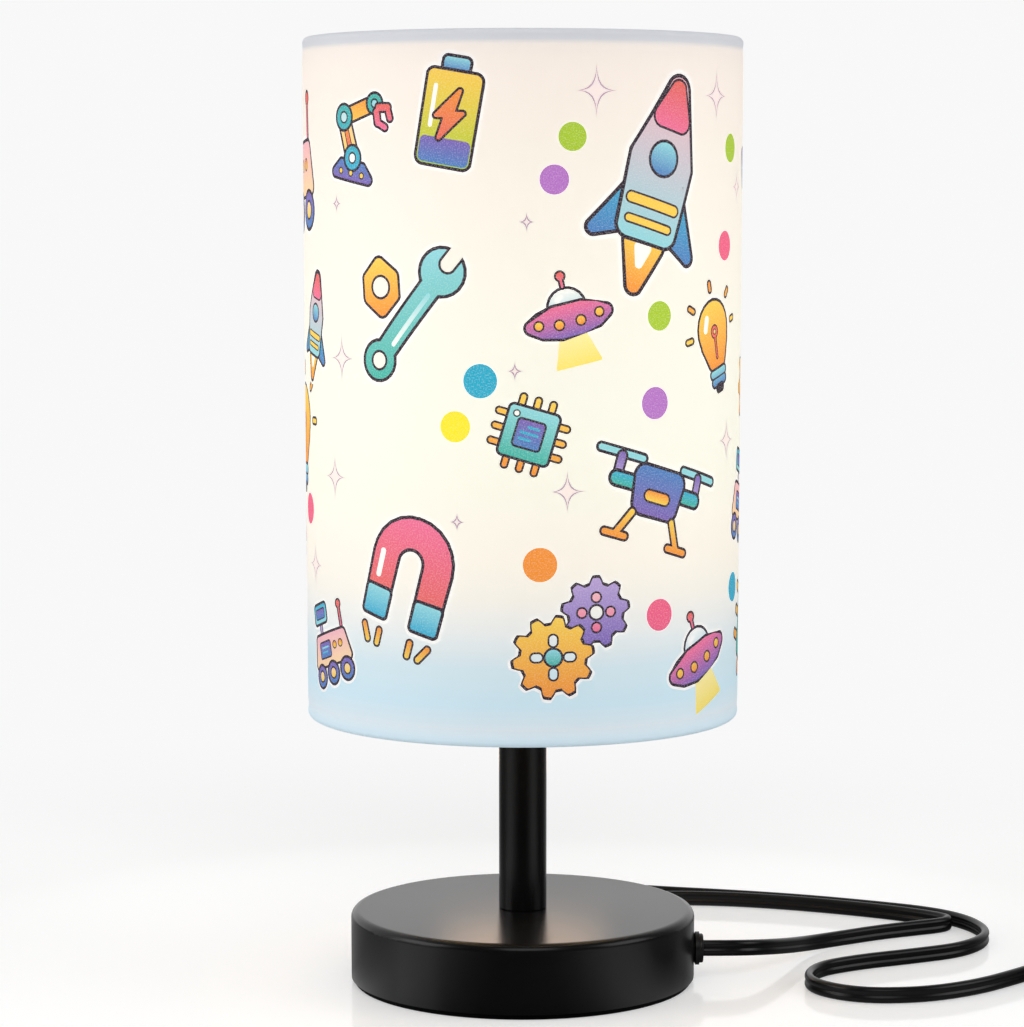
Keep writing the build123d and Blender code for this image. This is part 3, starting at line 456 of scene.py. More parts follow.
# Each motif is a list of groups: outline width, colour below and above, and round-cornered shapes,
# each with its corner radius and its corners. A group's outlines lie under all of its fills, and
# PAPER leaves the ground bare.
MOTIFS = {
    "rocket": [
        (0.8, ORANGE, GOLD, [(1.2, (-2.2, -10.5), (2.2, -10.5), (0, -16.5))]),
        (0, WHITE, WHITE, [(0.7, (-0.8, -11), (0.8, -11), (0, -13.4))]),
        (0.8, BLUE, CYAN, both((0.9, (-4, -2), (-8.6, -10.2), (-4.5, -8.4)))),
        (0.8, SKY, ROSE, [(2.0, (-3.2, -8), (3.2, -8), (3.8, 2), (0, 12.6), (-3.8, 2))]),
        (0.5, PINK, RED, [(1.5, (0, 12.6), (-1.9, 8.4), (1.9, 8.4))]),
        (0.6, BLUE, SKY, [(2.4, (0, 2.4))]),
        (0.4, GOLD, GOLD, [(0.7, (-4, -4.4), (4, -4.4)), (0.5, (-3.6, -7.4), (3.6, -7.4))]),
    ],
    "arm": [
        (0.8, VIOLET, BLUE, [(1.3, (-8, -14), (8, -14), (5, -11), (-5, -11))]),
        (0.8, GOLD, PEACH, [(2.7, (0, -8.4), (-6, 2.6))]),
        (0.4, RED, ORANGE, [(0.8, (-1.8, -5.2), (-4.2, -0.6))]),
        (0.8, GOLD, ORANGE, [(2.1, (-6, 2.6), (7, 9))]),
        (0.8, CYAN, TEAL, [(3.5, (0, -8.6)), (3.6, (-6, 2.8)), (2.8, (7, 9))]),
        (0.5, WHITE, SKY, [(1.3, (0, -8.6)), (1.4, (-6, 2.8)), (1.0, (7, 9))]),
        (0.7, PINK, RED, [(1.0, (8.8, 8), (12.2, 8.6)), (0.8, (12.2, 8.6), (13.6, 5.6)),
                          (1.0, (8.2, 6.6), (9.2, 3.6)), (0.8, (9.2, 3.6), (12.2, 2.6))]),
        (0.4, GOLD, GOLD, [(0.7, (x, -13.2)) for x in (-5, 0, 5)]),
    ],
    "gears": [
        (0.8, VIOLET, LILAC, [("gear", (5, 5.4), 7.4, 9)]),
        (0.5, PINK, ROSE, [(1.0, (5, 9)), (1.0, (5, 1.8)), (1.0, (8.6, 5.4)), (1.0, (1.4, 5.4))]),
        (0.6, PAPER, PAPER, [(1.5, (5, 5.4))]),
        (0.8, ORANGE, GOLD, [("gear", (-5.6, -5), 8.6, 10)]),
        (0.5, PAPER, PAPER, [(0.9, (-5.6, -1.4), (-5.6, -0.6)), (0.9, (-5.6, -8.6), (-5.6, -9.4)),
                             (0.9, (-2, -5), (-1.2, -5)), (0.9, (-9.2, -5), (-10, -5))]),
        (0.6, TEAL, SKY, [(1.9, (-5.6, -5))]),
    ],
    "chip": [
        (0.6, ORANGE, GOLD, [(0.7, (-10, y), (10, y)) for y in (-4.4, 0, 4.4)]
         + [(0.7, (x, -10), (x, 10)) for x in (-4.4, 0, 4.4)]),
        (0.8, TEAL, SKY, [(1.2, (-6, -6), (6, -6), (6, 6), (-6, 6))]),
        (0.6, BLUE, VIOLET, [(0.8, (-3, -3), (3, -3), (3, 3), (-3, 3))]),
        (0, CYAN, CYAN, [(0.4, (-2.4, -1.6), (0.6, -1.6)), (0.4, (-2.4, 0.2), (2.4, 0.2)),
                         (0.4, (-0.6, 2), (2.4, 2))]),
        (0.4, WHITE, WHITE, [(0.7, (-5, 5))]),
    ],
    "satellite": [
        (0.7, LILAC, LILAC, [(0.7, (-8, 0), (8, 0))]),
        (0.8, BLUE, VIOLET, both((0.5, (-15.4, -3.8), (-7, -3.8), (-7, 3.8), (-15.4, 3.8)))),
        (0, SKY, CYAN, both((0.22, (-11.2, -3.8), (-11.2, 3.8)), (0.22, (-15.4, 0), (-7, 0)))),
        (0.8, ORANGE, GOLD, [(1.1, (-3, -5.6), (3, -5.6), (3, 4.4), (-3, 4.4))]),
        (0.4, RED, PINK, [(0.5, (-2.4, y), (2.4, y)) for y in (-3.8, -1, 1.8)]),
        (0.7, WHITE, SKY, [(0.8, (-5, 9.4), (5, 9.4), (1.6, 6.6), (-1.6, 6.6))]),
        (0.5, PINK, RED, [(0.35, (0, 9.6), (0, 12.4)), (0.9, (0, 13))]),
    ],
    "saucer": [
        (0, "fbe36a", "fdf3b4", [(0.5, (-2.6, -2), (2.6, -2), (6.4, -13), (-6.4, -13))]),
        (0.8, CYAN, WHITE, [(5.2, (0, 3.4))]),
        (0, WHITE, WHITE, [(0.7, (-2.4, 5.8), (-1.2, 6.6))]),
        (0.8, VIOLET, PINK, [(1.7, (-11, 0), (-8, 1.6), (-4, 2.6), (4, 2.6), (8, 1.6), (11, 0),
                              (8, -2), (3, -3.2), (-3, -3.2), (-8, -2))]),
        (0.5, ORANGE, GOLD, [(1.1, (-9, 0)), (1.2, (-3.2, -1)), (1.2, (3.2, -1)), (1.1, (9, 0))]),
        (0.6, PINK, RED, [(0.35, (0, 9.4), (0, 11.6)), (1.1, (0, 12.4))]),
    ],
    "battery": [
        (0.8, BLUE, SKY, [(0.9, (-2, 10), (2, 10), (2, 11), (-2, 11))]),
        (0.8, LIME, GOLD, [(1.5, (-4.6, -9.6), (4.6, -9.6), (4.6, 7.4), (-4.6, 7.4))]),
        (0, BLUE, VIOLET, [(1.3, (-4.6, -9.6), (4.6, -9.6), (4.6, -6.6), (-4.6, -6.6))]),
        (0, WHITE, WHITE, [(0.5, (-4, 5.4), (-4, -3))]),
        (0.6, RED, ORANGE, [(0.4, (1.6, 5), (-3, -0.8), (0.6, -0.4)),
                            (0.4, (-1.6, -5.4), (3, 0.4), (-0.6, 0))]),
    ],
    "lamp": [
        (0.6, GOLD, ORANGE, [(0.5, (0, 13.4), (0, 15)), *both((0.5, (8.2, 10), (9.4, 11))),
                             *both((0.5, (10.4, 3), (12, 3)))]),
        (0.8, ORANGE, GOLD, [(7.2, (0, 3.2)), (2.2, (-2.2, -4.6), (2.2, -4.6), (4.4, 0), (-4.4, 0))]),
        (0, WHITE, WHITE, [(0.9, (-4.2, 4), (-3, 6.6))]),
        (0.4, RED, RED, [(0.3, (0, -4), (0, 1)), (1.5, (0, 2.6))]),
        (0.3, GOLD, PEACH, [(0.5, (0, 2.6))]),
        (0.7, BLUE, SKY, [(0.9, (-3.2, -8), (3.2, -8)), (0.9, (-2.8, -10.2), (2.8, -10.2))]),
        (0.6, PLUM, PLUM, [(0.8, (-1, -12), (1, -12))]),
    ],
    "magnet": [
        (0.8, RED, PINK, both((2.7, (-5.6, -4), (-5.6, 2))) + bow(2.7, (0, 2), 5.6, 0, 180, 12)),
        (0.8, CYAN, SKY, both((0.6, (-7.7, -9), (-3.5, -9), (-3.5, -5), (-7.7, -5)))),
        (0, WHITE, WHITE, [(0.6, (-6.4, -2), (-6.4, 2.4))]),
        (0.5, GOLD, ORANGE, [(0.5, (-7.4, -12.2), (-6, -14.6)), (0.5, (-3.6, -12.2), (-3.6, -14.6)),
                             (0.5, (3.6, -12.2), (3.6, -14.6)), (0.5, (7.4, -12.2), (6, -14.6))]),
    ],
    "spanner": [
        (0.8, TEAL, SKY, [(2.2, (-7, -7), (6, 6)), (4.6, (8, 8)), (3.8, (-8.4, -8.4))]),
        (0.6, PAPER, PAPER, [(1.5, (9.4, 9.4), (10.7, 10.7)), (1.6, (-8.4, -8.4))]),
        (0, PAPER, PAPER, [(1.5, (10, 10), (13.2, 13.2))]),
        (0, WHITE, SKY, [(0.5, (-4.4, -5.4), (4.6, 3.6))]),
        (0.7, ORANGE, GOLD, [(1.4, (-9.6, 4.4), (-6.6, 1.8), (-3.6, 4.4), (-3.6, 8), (-6.6, 10.6),
                              (-9.6, 8))]),
        (0.6, PAPER, PAPER, [(2.0, (-6.6, 6.2))]),
    ],
    "rover": [
        (0.6, PINK, RED, [(0.35, (8.4, 4), (8.4, 11)), (1.0, (8.4, 12))]),
        (0.6, LILAC, LILAC, [(0.6, (-4.6, 3), (-4.6, 9))]),
        (0.8, SKY, CYAN, [(1.1, (-8.2, 9.4), (-1, 9.4), (-1, 12.6), (-8.2, 12.6))]),
        (0.4, BLUE, VIOLET, [(0.5, (-7.4, 10.2), (-1.8, 10.2), (-1.8, 11.8), (-7.4, 11.8))]),
        (0.8, PEACH, ROSE, [(1.3, (-10, -3.4), (10, -3.4), (8.4, 3.2), (-8.4, 3.2))]),
        (0.5, BLUE, VIOLET, [(0.6, (-6.4, -1.6), (-0.4, -1.6), (-0.4, 1.6), (-6.4, 1.6))]),
        (0, CYAN, SKY, [(0.3, (-5.6, -0.7), (-2, -0.7)), (0.3, (-5.6, 0.7), (-1.2, 0.7))]),
        (0.4, GOLD, ORANGE, [(0.9, (3, 0.6)), (0.9, (6.4, 0.6))]),
        (0.8, BLUE, VIOLET, [(3.1, (x, -7.4)) for x in (-8, 0, 8)]),
        (0.5, GOLD, PEACH, [(1.4, (x, -7.4)) for x in (-8, 0, 8)]),
    ],
    "drone": [
        (0.7, SKY, SKY, both((0.6, (-15, 5.6), (-5.4, 5.6)))),
        (0.6, LILAC, VIOLET, both((0.8, (-10.2, 0.4), (-10.2, 5)))),
        (0.8, TEAL, CYAN, [(1.2, (-10.2, 0.6), (10.2, 0.6))]),
        (0.8, VIOLET, BLUE, [(2.2, (-3.2, -2.6), (3.2, -2.6), (4, 2.4), (-4, 2.4))]),
        (0.5, GOLD, ORANGE, [(1.0, (-2, -1), (2, -1))]),
        (0.6, ORANGE, GOLD, both((0.6, (-5, -5), (-7.6, -10))) + both((0.6, (-9.8, -10), (-5.4, -10)))),
    ],
}

# The ground colour by height, a pale warm field that turns blue towards the lower hem, and what
# is scattered over it. The grey-blue band at the top hem, from 270.2 mm up, is painted shade
# where the upper wire ring and the doubled cloth stand behind the cloth.
GROUND_Y = [80.5, 84.5, 88, 96, 101, 106, 112, 122, 135, 150, 180, 240, 255, 266, 269.4, 270.2, 272]
GROUND_AND_HEM_SHADE = ["d7eefb", "e3eff6", "d3eefb", "d0eaf6", "d7ebf5", "e3eef3", "eff2f4", "faf6f0", "fcf7f1",
          "f9f8f1", "f6f6f1", "f8f3ed", "f9f1eb", "fdf4ed", "faf2ec", "dfe2e8", "e4e6ec"]
SPARKLE_LINE, SPARKLE_FILL = "b59fb9", "fdeeee"
DOTS = ["22a9cf", "f0608a", "f8e71c", "a9cb2e", "b573cc", "f59331"]
DOT_R, DOT_HALO = 4.5, 0.3
HALO = 0.7
FIGURE_SCALES = [1.85, 1.6, 1.5, 1.4, 1.35, 1.3, 1.25, 1.2, 1.15, 1.1, 1.05, 1.0, 1.0, 0.95, 0.95, 0.9]
DOT_COUNT, SPARKLE_COUNT = 26, 26
SPARKLE_SIZES = [8.4, 7.6, 7.0, 6.0, 5.0, 3.4]
SPARKLE_WAIST = 0.3
TILT = 22
SCATTER_LOW, SCATTER_HIGH = 87.0, 267.0
CHOICES = 400
REACH_SHARE, CORE_SHARE = 0.88, 0.6
FIGURE_APART, DOT_APART, SPARKLE_APART = 75.0, 22.0, 12.0
DOT_CLEAR, SPARKLE_CLEAR = 1.6, 0.7
PRINT_START = 228.3


def blob(radius, corners, points=0):
    """Convex shape with rounded corners: in each direction, the farthest corner plus the radius.
    Unless their number is given, 14 points do for a sharp corner and more as the radius grows."""
    points = points or 14 + round(3 * math.sqrt(radius))
    ways = polar(1, around(points) + 0.05)
    corners = np.asarray(corners, float)
    return corners[np.argmax(ways @ corners.T, axis=1)] + radius * ways


def gear(centre, radius, teeth, grow):
    """Wheel whose radius swells and sinks by a ninth, flattened at tooth tops and gaps."""
    turn = around(teeth * 10)
    return polar(radius * (1 + 0.11 * np.tanh(3 * np.sin(teeth * turn))) + grow, turn) + centre


def signed_power(value, power):
    return np.sign(value) * np.abs(value) ** power


def star(arm, waist):
    """Four-pointed sparkle, x = 0.8 arm cos^p, y = arm sin^p, with p such that its diagonals are
    as long as the waist."""
    power = math.log(waist / arm / math.sqrt(2)) / math.log(math.sqrt(0.5))
    return signed_power(polar(1, around(48)), power) * (0.8, 1) * arm


def shape_outline(shape, grow):
    if shape[0] == "gear":
        return gear(*shape[1:], grow)
    return blob(shape[0] + grow, shape[1:])


def plain_layer(outline, colour):
    return outline, colour, colour, 0, 1


def figure_layers(groups, scale):
    """(outline, colour below, colour above, lowest, highest) of each layer of a motif, the lowest
    layer first: white haloes, then for each group its dark outlines and its fills, whose colour
    runs from below to above over the whole group."""
    layers = [plain_layer(shape_outline(shape, stroke + HALO / scale), WHITE)
              for stroke, low, high, shapes in groups if stroke >= 0.7 for shape in shapes]
    for stroke, low, high, shapes in groups:
        if stroke:
            layers += [plain_layer(shape_outline(shape, stroke / scale ** 0.5), PLUM) for shape in shapes]
        fills = [shape_outline(shape, 0) for shape in shapes]
        heights = np.vstack(fills)[:, 1]
        layers += [(fill, low, high, heights.min(), heights.max()) for fill in fills]
    return [(layer[0] * scale, *layer[1:3], layer[3] * scale, layer[4] * scale) for layer in layers]


def clearance(spots, radius, kind, apart, taken):
    """Gap of each spot, as a disc, from the (x, y, radius, kind) discs taken, round the drum. A
    disc of the same kind counts as wider by apart."""
    across = np.abs(spots[:, None, 0] - taken[:, 0]) % AROUND
    across = np.minimum(across, AROUND - across)
    wide = taken[:, 2] + apart * (taken[:, 3] == kind)
    return (np.hypot(across, spots[:, None, 1] - taken[:, 1]) - wide).min(1) - radius


# Largest first, each figure goes where it is farthest from the rest and from its like. Dots and
# sparkles go to the first spot that clears all, or to the roomiest. Spots are chosen over one turn
# from PRINT_START on and drawn a turn back. The print breaks at the lap, as on a cloth cut to
# length: what passes the sheet's right end is lost, and a strip at its left end stays plain.
chance = np.random.default_rng(11)
items = []
names = list(MOTIFS)
for index in range(2 * len(FIGURE_SCALES)):
    kind = (index * 5 + index // len(names)) % len(names)
    layers = figure_layers(MOTIFS[names[kind]], FIGURE_SCALES[index // 2])
    items.append((layers, math.radians(chance.uniform(-TILT, TILT)), kind, FIGURE_APART, math.inf))
for index in range(DOT_COUNT):
    kind = index % len(DOTS)
    size = DOT_R * chance.uniform(0.86, 1.05)
    dot = [plain_layer(blob(size + DOT_HALO, [(0, 0)], 32), WHITE),
           plain_layer(blob(size, [(0, 0)], 32), DOTS[kind])]
    items.append((dot, 0.0, kind, DOT_APART, DOT_CLEAR))
for index in range(SPARKLE_COUNT):
    size = SPARKLE_SIZES[index % len(SPARKLE_SIZES)]
    waist = SPARKLE_WAIST * size
    sparkle = [plain_layer(star(size, waist), SPARKLE_LINE),
               plain_layer(star(size - 1.7, waist - 0.5), SPARKLE_FILL)]
    items.append((sparkle, 0.0, len(DOTS), SPARKLE_APART, SPARKLE_CLEAR))

# whole has a disc for each figure. edges has every third point of its outline, a smaller disc in
# its middle, and all dots and sparkles. Both start with a point far below the cloth, so that the
# first piece has something to keep clear of.
whole = [(PRINT_START, -500.0, 0.0, -1.0)]
edges = np.array(whole)
drawn = []
for layers, turn, kind, apart, enough in items:
    large = enough == math.inf
    outlines = np.vstack([layer[0] for layer in layers])
    reach = np.linalg.norm(outlines, axis=1).max() * (REACH_SHARE if large else 1)
    spots = np.stack([chance.uniform(0, AROUND, CHOICES) + PRINT_START,
                      chance.uniform(SCATTER_LOW + reach, SCATTER_HIGH - reach, CHOICES)], 1)
    gap = clearance(spots, reach, kind, apart, np.array(whole) if large else edges)
    spot = spots[np.flatnonzero(gap >= min(enough, gap.max()))[0]]
    spin = np.array([[math.cos(turn), math.sin(turn)], [-math.sin(turn), math.cos(turn)]])
    if large:
        whole.append((*spot, reach, kind))
        rim = (outlines @ spin + spot)[::3]
        core = (*spot, CORE_SHARE * reach, -1)
        edges = np.vstack([edges, np.c_[rim, np.tile((0, -1), (len(rim), 1))], core])
    else:
        edges = np.vstack([edges, (*spot, reach, kind)])
    if spot[0] - AROUND < HALF_SHEET + reach:
        drawn += [(layer[0] @ spin + spot - (AROUND, 0), *layer[1:], spot - (AROUND, 0), spin[1])
                  for layer in layers]

# Slits in the lower hem let the three arms through, the back one through both ends of the lap.
ARM_ANGLES = [-180.0, -60.0, 60.0, 180.0]
SLIT_MOUTH, SLIT_HALF, SLIT_END = 1.3, 2.2, 1.8
slit_top = HEM_LOW - HEM_CURL_R * math.radians(100)
slit_side = [(SLIT_MOUTH, sheet_low - 2), (SLIT_HALF, slit_top - 3), (SLIT_END, slit_top)]
slits = [blob(0.6, [(x + side * half, y) for half, y in slit_side for side in (-1, 1)])
         for x in np.radians(ARM_ANGLES) * WALL_R]

# The flat sheet is cut along every outline and along a grid that lets it curve, so that each face
# lies in one ink. The cut's last list names the loops that hold each face: loop 0 is the sheet's
# edge, then come the shapes from the lowest to the uppermost, then the slits.
COLUMNS, ROW_STEP = 148, 10.0
columns = np.linspace(-HALF_SHEET, HALF_SHEET, COLUMNS)
wall_rows = np.arange(HEM_LOW + ROW_STEP, HEM_HIGH - 1, ROW_STEP)
rows = np.r_[profile_y[1:len(lower_hem)], wall_rows, profile_y[len(lower_hem):-1]]
sheet_edge = HALF_SHEET * np.array([(-1, 0), (1, 0), (1, 0), (-1, 0)])
sheet_edge[:, 1] = sheet_low, sheet_low, sheet_high, sheet_high
loops = [sheet_edge] + [entry[0] for entry in drawn] + slits
lines = [np.array([(x, sheet_low), (x, sheet_high)]) for x in columns[1:-1]]
lines += [np.array([(-HALF_SHEET, y), (HALF_SHEET, y)]) for y in rows]
counts = np.cumsum([0] + [len(loop) for loop in loops])
faces_in = [list(range(start, end)) for start, end in zip(counts[:-1], counts[1:])]
line_start = counts[-1]
edges_in = [(int(line_start + 2 * i), int(line_start + 2 * i + 1)) for i in range(len(lines))]
points_in = np.vstack(loops + lines)
cut = delaunay_2d_cdt(points_in.tolist(), edges_in, faces_in, 0, 1e-5, True)
uppermost = np.array([max(ids) if 0 in ids else -1 for ids in cut[5]])
kept = (uppermost >= 0) & (uppermost <= len(drawn))
used, triangles = np.unique(np.array(cut[2])[kept], return_inverse=True)
flat = np.array(cut[0])[used]
triangles = triangles.reshape(-1, 3)
shape_of = uppermost[kept]

# The colours by height hold the print's ground and, at the top hem, a band of painted shade.
paper_and_hem_shade = np.array([srgb(colour) for colour in GROUND_AND_HEM_SHADE])
ground_and_hem_shade = np.stack([np.interp(flat[:, 1], GROUND_Y, paper_and_hem_shade[:, i]) for i in range(3)], 1)
inks = np.zeros((len(drawn) + 1, 2, 4))
spans = np.zeros((len(drawn) + 1, 4))
for number, (outline, low, high, lowest, highest, middle, upward) in enumerate(drawn, 1):
    if low:
        inks[number] = [(*srgb(low), 1), (*srgb(high), 1)]
    spans[number] = (*upward, middle @ upward + lowest, highest - lowest)
spot = flat[triangles]
span = spans[shape_of][:, None]
share = ((spot * span[..., :2]).sum(-1) - span[..., 2]) / np.maximum(span[..., 3], 1e-6)
share = np.clip(share, 0, 1)[..., None]
ink = inks[shape_of][:, None, 0] * (1 - share) + inks[shape_of][:, None, 1] * share
colour = np.where(ink[..., 3:] > 0, ink, np.concatenate([ground_and_hem_shade[triangles], 0 * ink[..., 3:]], -1))

cloth = bpy.data.meshes.new("shade_sheet")
cloth.from_pydata((rolled(flat) * MM).tolist(), [], triangles.tolist())
cloth.shade_smooth()
cloth.attributes.new("print", "FLOAT_COLOR", "CORNER").data.foreach_set("color", colour.ravel())
place = np.c_[flat, np.zeros(len(flat))]
cloth.attributes.new("cloth_mm", "FLOAT_VECTOR", "POINT").data.foreach_set("vector", place.ravel())

WEAVE_PITCH, WEAVE_DEPTH, SLUB_SHARE, SPECK_SHARE = 0.35, 0.05, 0.35, 0.2


def weave_group():
    """Plain weave over millimetre coordinates: the product of two sines, with slubs along both
    threads. Height feeds a bump; Speckle is a fine mask for thin spots in ink."""
    tree, given, out = new_group("plain_weave", {"Place": [0.0, 0.0, 0.0]},
                                 {"Height": float, "Speckle": float})
    turned = add_node(tree, "VectorMath", {0: given.outputs["Place"], 3: 2 * math.pi / WEAVE_PITCH},
                      operation="SCALE").outputs[0]
    parts = add_node(tree, "SeparateXYZ", {0: turned})
    cross = math_node(tree, "MULTIPLY", math_node(tree, "SINE", parts.outputs[0]),
                      math_node(tree, "SINE", parts.outputs[1]))
    slubs = 0.0
    for stretch in ((0.25, 3.0, 1.0), (3.0, 0.25, 1.0)):
        drawn_out = add_node(tree, "VectorMath", {0: given.outputs["Place"], 1: stretch},
                             operation="MULTIPLY").outputs[0]
        noise = add_node(tree, "TexNoise", {"Vector": drawn_out, "Scale": 1.0, "Detail": 1.0})
        slubs = math_node(tree, "ADD", noise.outputs["Fac"], slubs)
    uneven = math_node(tree, "MULTIPLY", slubs, SLUB_SHARE)
    height = math_node(tree, "ADD", math_node(tree, "MULTIPLY", cross, 0.5), uneven)
    fine = add_node(tree, "TexNoise", {"Vector": given.outputs["Place"], "Scale": 2.6, "Detail": 2.0})
    tree.links.new(height, out.inputs["Height"])
    tree.links.new(range_node(tree, fine.outputs["Fac"], 0.48, 0.68), out.inputs["Speckle"])
    return tree


plain_weave = weave_group()

# How strongly the bulb shows through the cloth, by height, and in what tint. The hems, where the
# cloth lies double over the wires, let less through.
GLOW_Z = [79.5, 82.0, 83.5, 86.5, 88.5, 105, 130, 165, 190, 225, 255, 264, 270, 271.5, 273.3]
GLOW = ["767676", "828282", "878787", "838383", "868584", "908e89", "a29e90", "adaa97", "b1ac99",
        "aca697", "a29b90", "99938b", "898681", "696969", "656565"]


def cloth_material():
    """Fabric whose colour attribute is the print: its ink thins in specks, and the bulb's light
    comes through it as emission in the print's own colour."""
    made, tree, shader = new_material("printed_fabric", Roughness=0.8, Specular_IOR_Level=0.25,
                                      Emission_Strength=1.0)
    inked = add_node(tree, "Attribute", attribute_name="print")
    spot = add_node(tree, "Attribute", attribute_name="cloth_mm")
    weave = add_node(tree, "Group", node_tree=plain_weave)
    tree.links.new(spot.outputs["Vector"], weave.inputs["Place"])
    thin = math_node(tree, "MULTIPLY", weave.outputs["Speckle"], inked.outputs["Alpha"])
    thin = math_node(tree, "MULTIPLY", thin, SPECK_SHARE)
    worn = mix_colours(tree, thin, inked.outputs["Color"], (1, 1, 1, 1))
    height = add_node(tree, "SeparateXYZ", {0: add_node(tree, "TexCoord").outputs["Object"]}).outputs["Z"]
    ramp = add_node(tree, "ValToRGB", {0: range_node(tree, height, GLOW_Z[0] * MM, GLOW_Z[-1] * MM)})
    stops = ramp.color_ramp.elements
    for z in GLOW_Z[1:-1]:
        stops.new((z - GLOW_Z[0]) / (GLOW_Z[-1] - GLOW_Z[0]))
    for stop, tint in zip(stops, GLOW):
        stop.color = (*srgb(tint), 1)
    lit = mix_colours(tree, 1.0, worn, ramp.outputs[0], blend_type="MULTIPLY")
    bump = add_node(tree, "Bump", {"Height": weave.outputs["Height"], "Distance": WEAVE_DEPTH * MM})
    tree.links.new(worn, shader.inputs["Base Color"])
    tree.links.new(lit, shader.inputs["Emission Color"])
    tree.links.new(bump.outputs[0], shader.inputs["Normal"])
    return made


cloth.materials.append(cloth_material())
shade_sheet = add_object("shade_sheet", cloth)
wall = shade_sheet.modifiers.new("thickness", "SOLIDIFY")
wall.thickness, wall.offset = FABRIC_T * MM, 0.0
shading = shade_sheet.modifiers.new("shading", "WEIGHTED_NORMAL")
shading.mode, shading.keep_sharp = "FACE_AREA", True
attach(shade_sheet, "shade")
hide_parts("shade_fabric")

# ---- Twin cord ----
# Flat two-core lead in black PVC: two lobes with a groove between them. It lies on its edge,
# comes out of the base at the right, runs loose over the table and ends in a tied coil and a plug.

CORD_WIDTH, CORD_THICK = 4.8, 2.65
CORD_AXIS_Z = CORD_WIDTH / 2
FREE_RUN = [
    (53.2, 0.0, 9.2), (62.5, 0.0, 9.2), (71.5, 6.3, 8.0), (79.5, 18.5, 5.6), (87.5, 32.5, 3.2),
    (98.5, 43.0, 2.4), (110.0, 50.4, 2.4), (121.5, 56.2, 2.4), (131.0, 60.5, 2.4),
    (134.6, 64.6, 2.4), (131.6, 69.2, 2.4), (122.2, 76.6, 2.4), (108.0, 84.6, 2.4),
    (88.0, 93.4, 2.4), (67.0, 99.8, 2.4), (46.0, 101.4, 2.4), (26.0, 97.4, 2.4), (9.0, 89.0, 2.4),
    (-8.0, 85.6, 2.4), (-21.8, 92.0, 2.4), (-25.6, 106.0, 2.4), (-14.5, 118.0, 2.4),
    (3.5, 120.4, 2.4), (24.0, 115.4, 2.4), (45.0, 108.6, 2.4), (67.0, 103.4, 2.4),
    (90.0, 96.2, 2.4), (112.0, 86.6, 2.4), (131.5, 76.2, 2.4), (141.6, 62.5, 2.4),
    (144.2, 44.0, 2.4), (134.6, 27.5, 2.4), (117.0, 18.4, 2.4), (100.0, 10.8, 2.4),
    (85.8, 0.5, 2.4), (82.2, -17.5, 2.4), (95.0, -30.6, 2.4), (114.0, -30.2, 2.4),
    (131.0, -21.0, 2.4), (145.0, -7.2, 2.4), (157.5, 7.0, 2.4), (168.5, 20.5, 2.4),
]
TAIL = [(224.6, -5.0, 7.2), (225.0, -12.0, 6.9), (225.6, -22.0, 6.6)]
COIL_CENTRE = (193.0, 0.6)
COIL_OUTER_R = 31.6
COIL_PITCH = 2.9
COIL_TURNS = 4.4
COIL_STEP = 15.0


def coil_points():
    """Turns wound clockwise: the radius shrinks by one pitch a turn on the lower layer and grows
    again on the upper one, which lies one cord width higher."""
    start = math.degrees(math.atan2(FREE_RUN[-1][1] - COIL_CENTRE[1], FREE_RUN[-1][0] - COIL_CENTRE[0]))
    turn = np.arange(COIL_STEP, 360 * COIL_TURNS - 2, COIL_STEP) / 360
    middle = COIL_TURNS / 2
    radius = COIL_OUTER_R - COIL_PITCH * (middle - np.hypot(turn - middle, 0.08))
    rise = np.clip((turn - middle + 0.15) / 0.3, 0, 1)
    height = CORD_AXIS_Z + CORD_WIDTH * rise * rise * (3 - 2 * rise)
    angle = np.radians(start - 360 * turn)
    return polar(radius, angle, height) + (*COIL_CENTRE, 0)


def spline_line(points, resolution):
    """Points of the NURBS spline of order 3 that has the given control points, in millimetres."""
    curve = bpy.data.curves.new("line", "CURVE")
    curve.dimensions, curve.resolution_u = "3D", resolution
    spline = curve.splines.new("NURBS")
    spline.points.add(len(points) - 1)
    spline.points.foreach_set("co", np.c_[points, np.ones(len(points))].astype(np.float32).ravel())
    spline.order_u, spline.use_endpoint_u = 3, True
    line = bpy.data.objects.new("line", curve)
    mesh = bpy.data.meshes.new_from_object(line)
    found = np.empty(len(mesh.vertices) * 3, np.float32)
    mesh.vertices.foreach_get("co", found)
    bpy.data.objects.remove(line)
    bpy.data.meshes.remove(mesh)
    return found.reshape(-1, 3).astype(float)


def capped(rings, first, last):
    """The rings with one more at each end, drawn together in a point, so that the end is closed."""
    ends = np.repeat([[first], [last]], rings.shape[1], 1)
    return np.concatenate([ends[:1], rings, ends[1:]])


def swept(name, path, section, material, crease=35.0, side=None):
    """Carries a (side, up) section along a path: side stays level, or keeps the given direction,
    and up is square to it and to the path. Both ends are closed with flat caps."""
    ahead = np.gradient(path, axis=0)
    ahead /= np.linalg.norm(ahead, axis=1)[:, None]
    if side is None:
        side = np.cross(ahead, (0.0, 0.0, 1.0))
        side /= np.linalg.norm(side, axis=1)[:, None]
    side = side + 0 * ahead
    up = np.cross(side, ahead)
    rings = path[:, None] + side[:, None] * section[:, 0, None] + up[:, None] * section[:, 1, None]
    return solid(name, capped(rings, path[0], path[-1]), material, crease)


def twin_section():
    """Figure of eight: arcs of 280 degrees round two centres, which meet in a groove on each side."""
    turn = np.radians(np.linspace(-50, 230, 15))
    lobe = polar(CORD_THICK / 2, turn) + (0, (CORD_WIDTH - CORD_THICK) / 2)
    return np.vstack([lobe, -lobe])


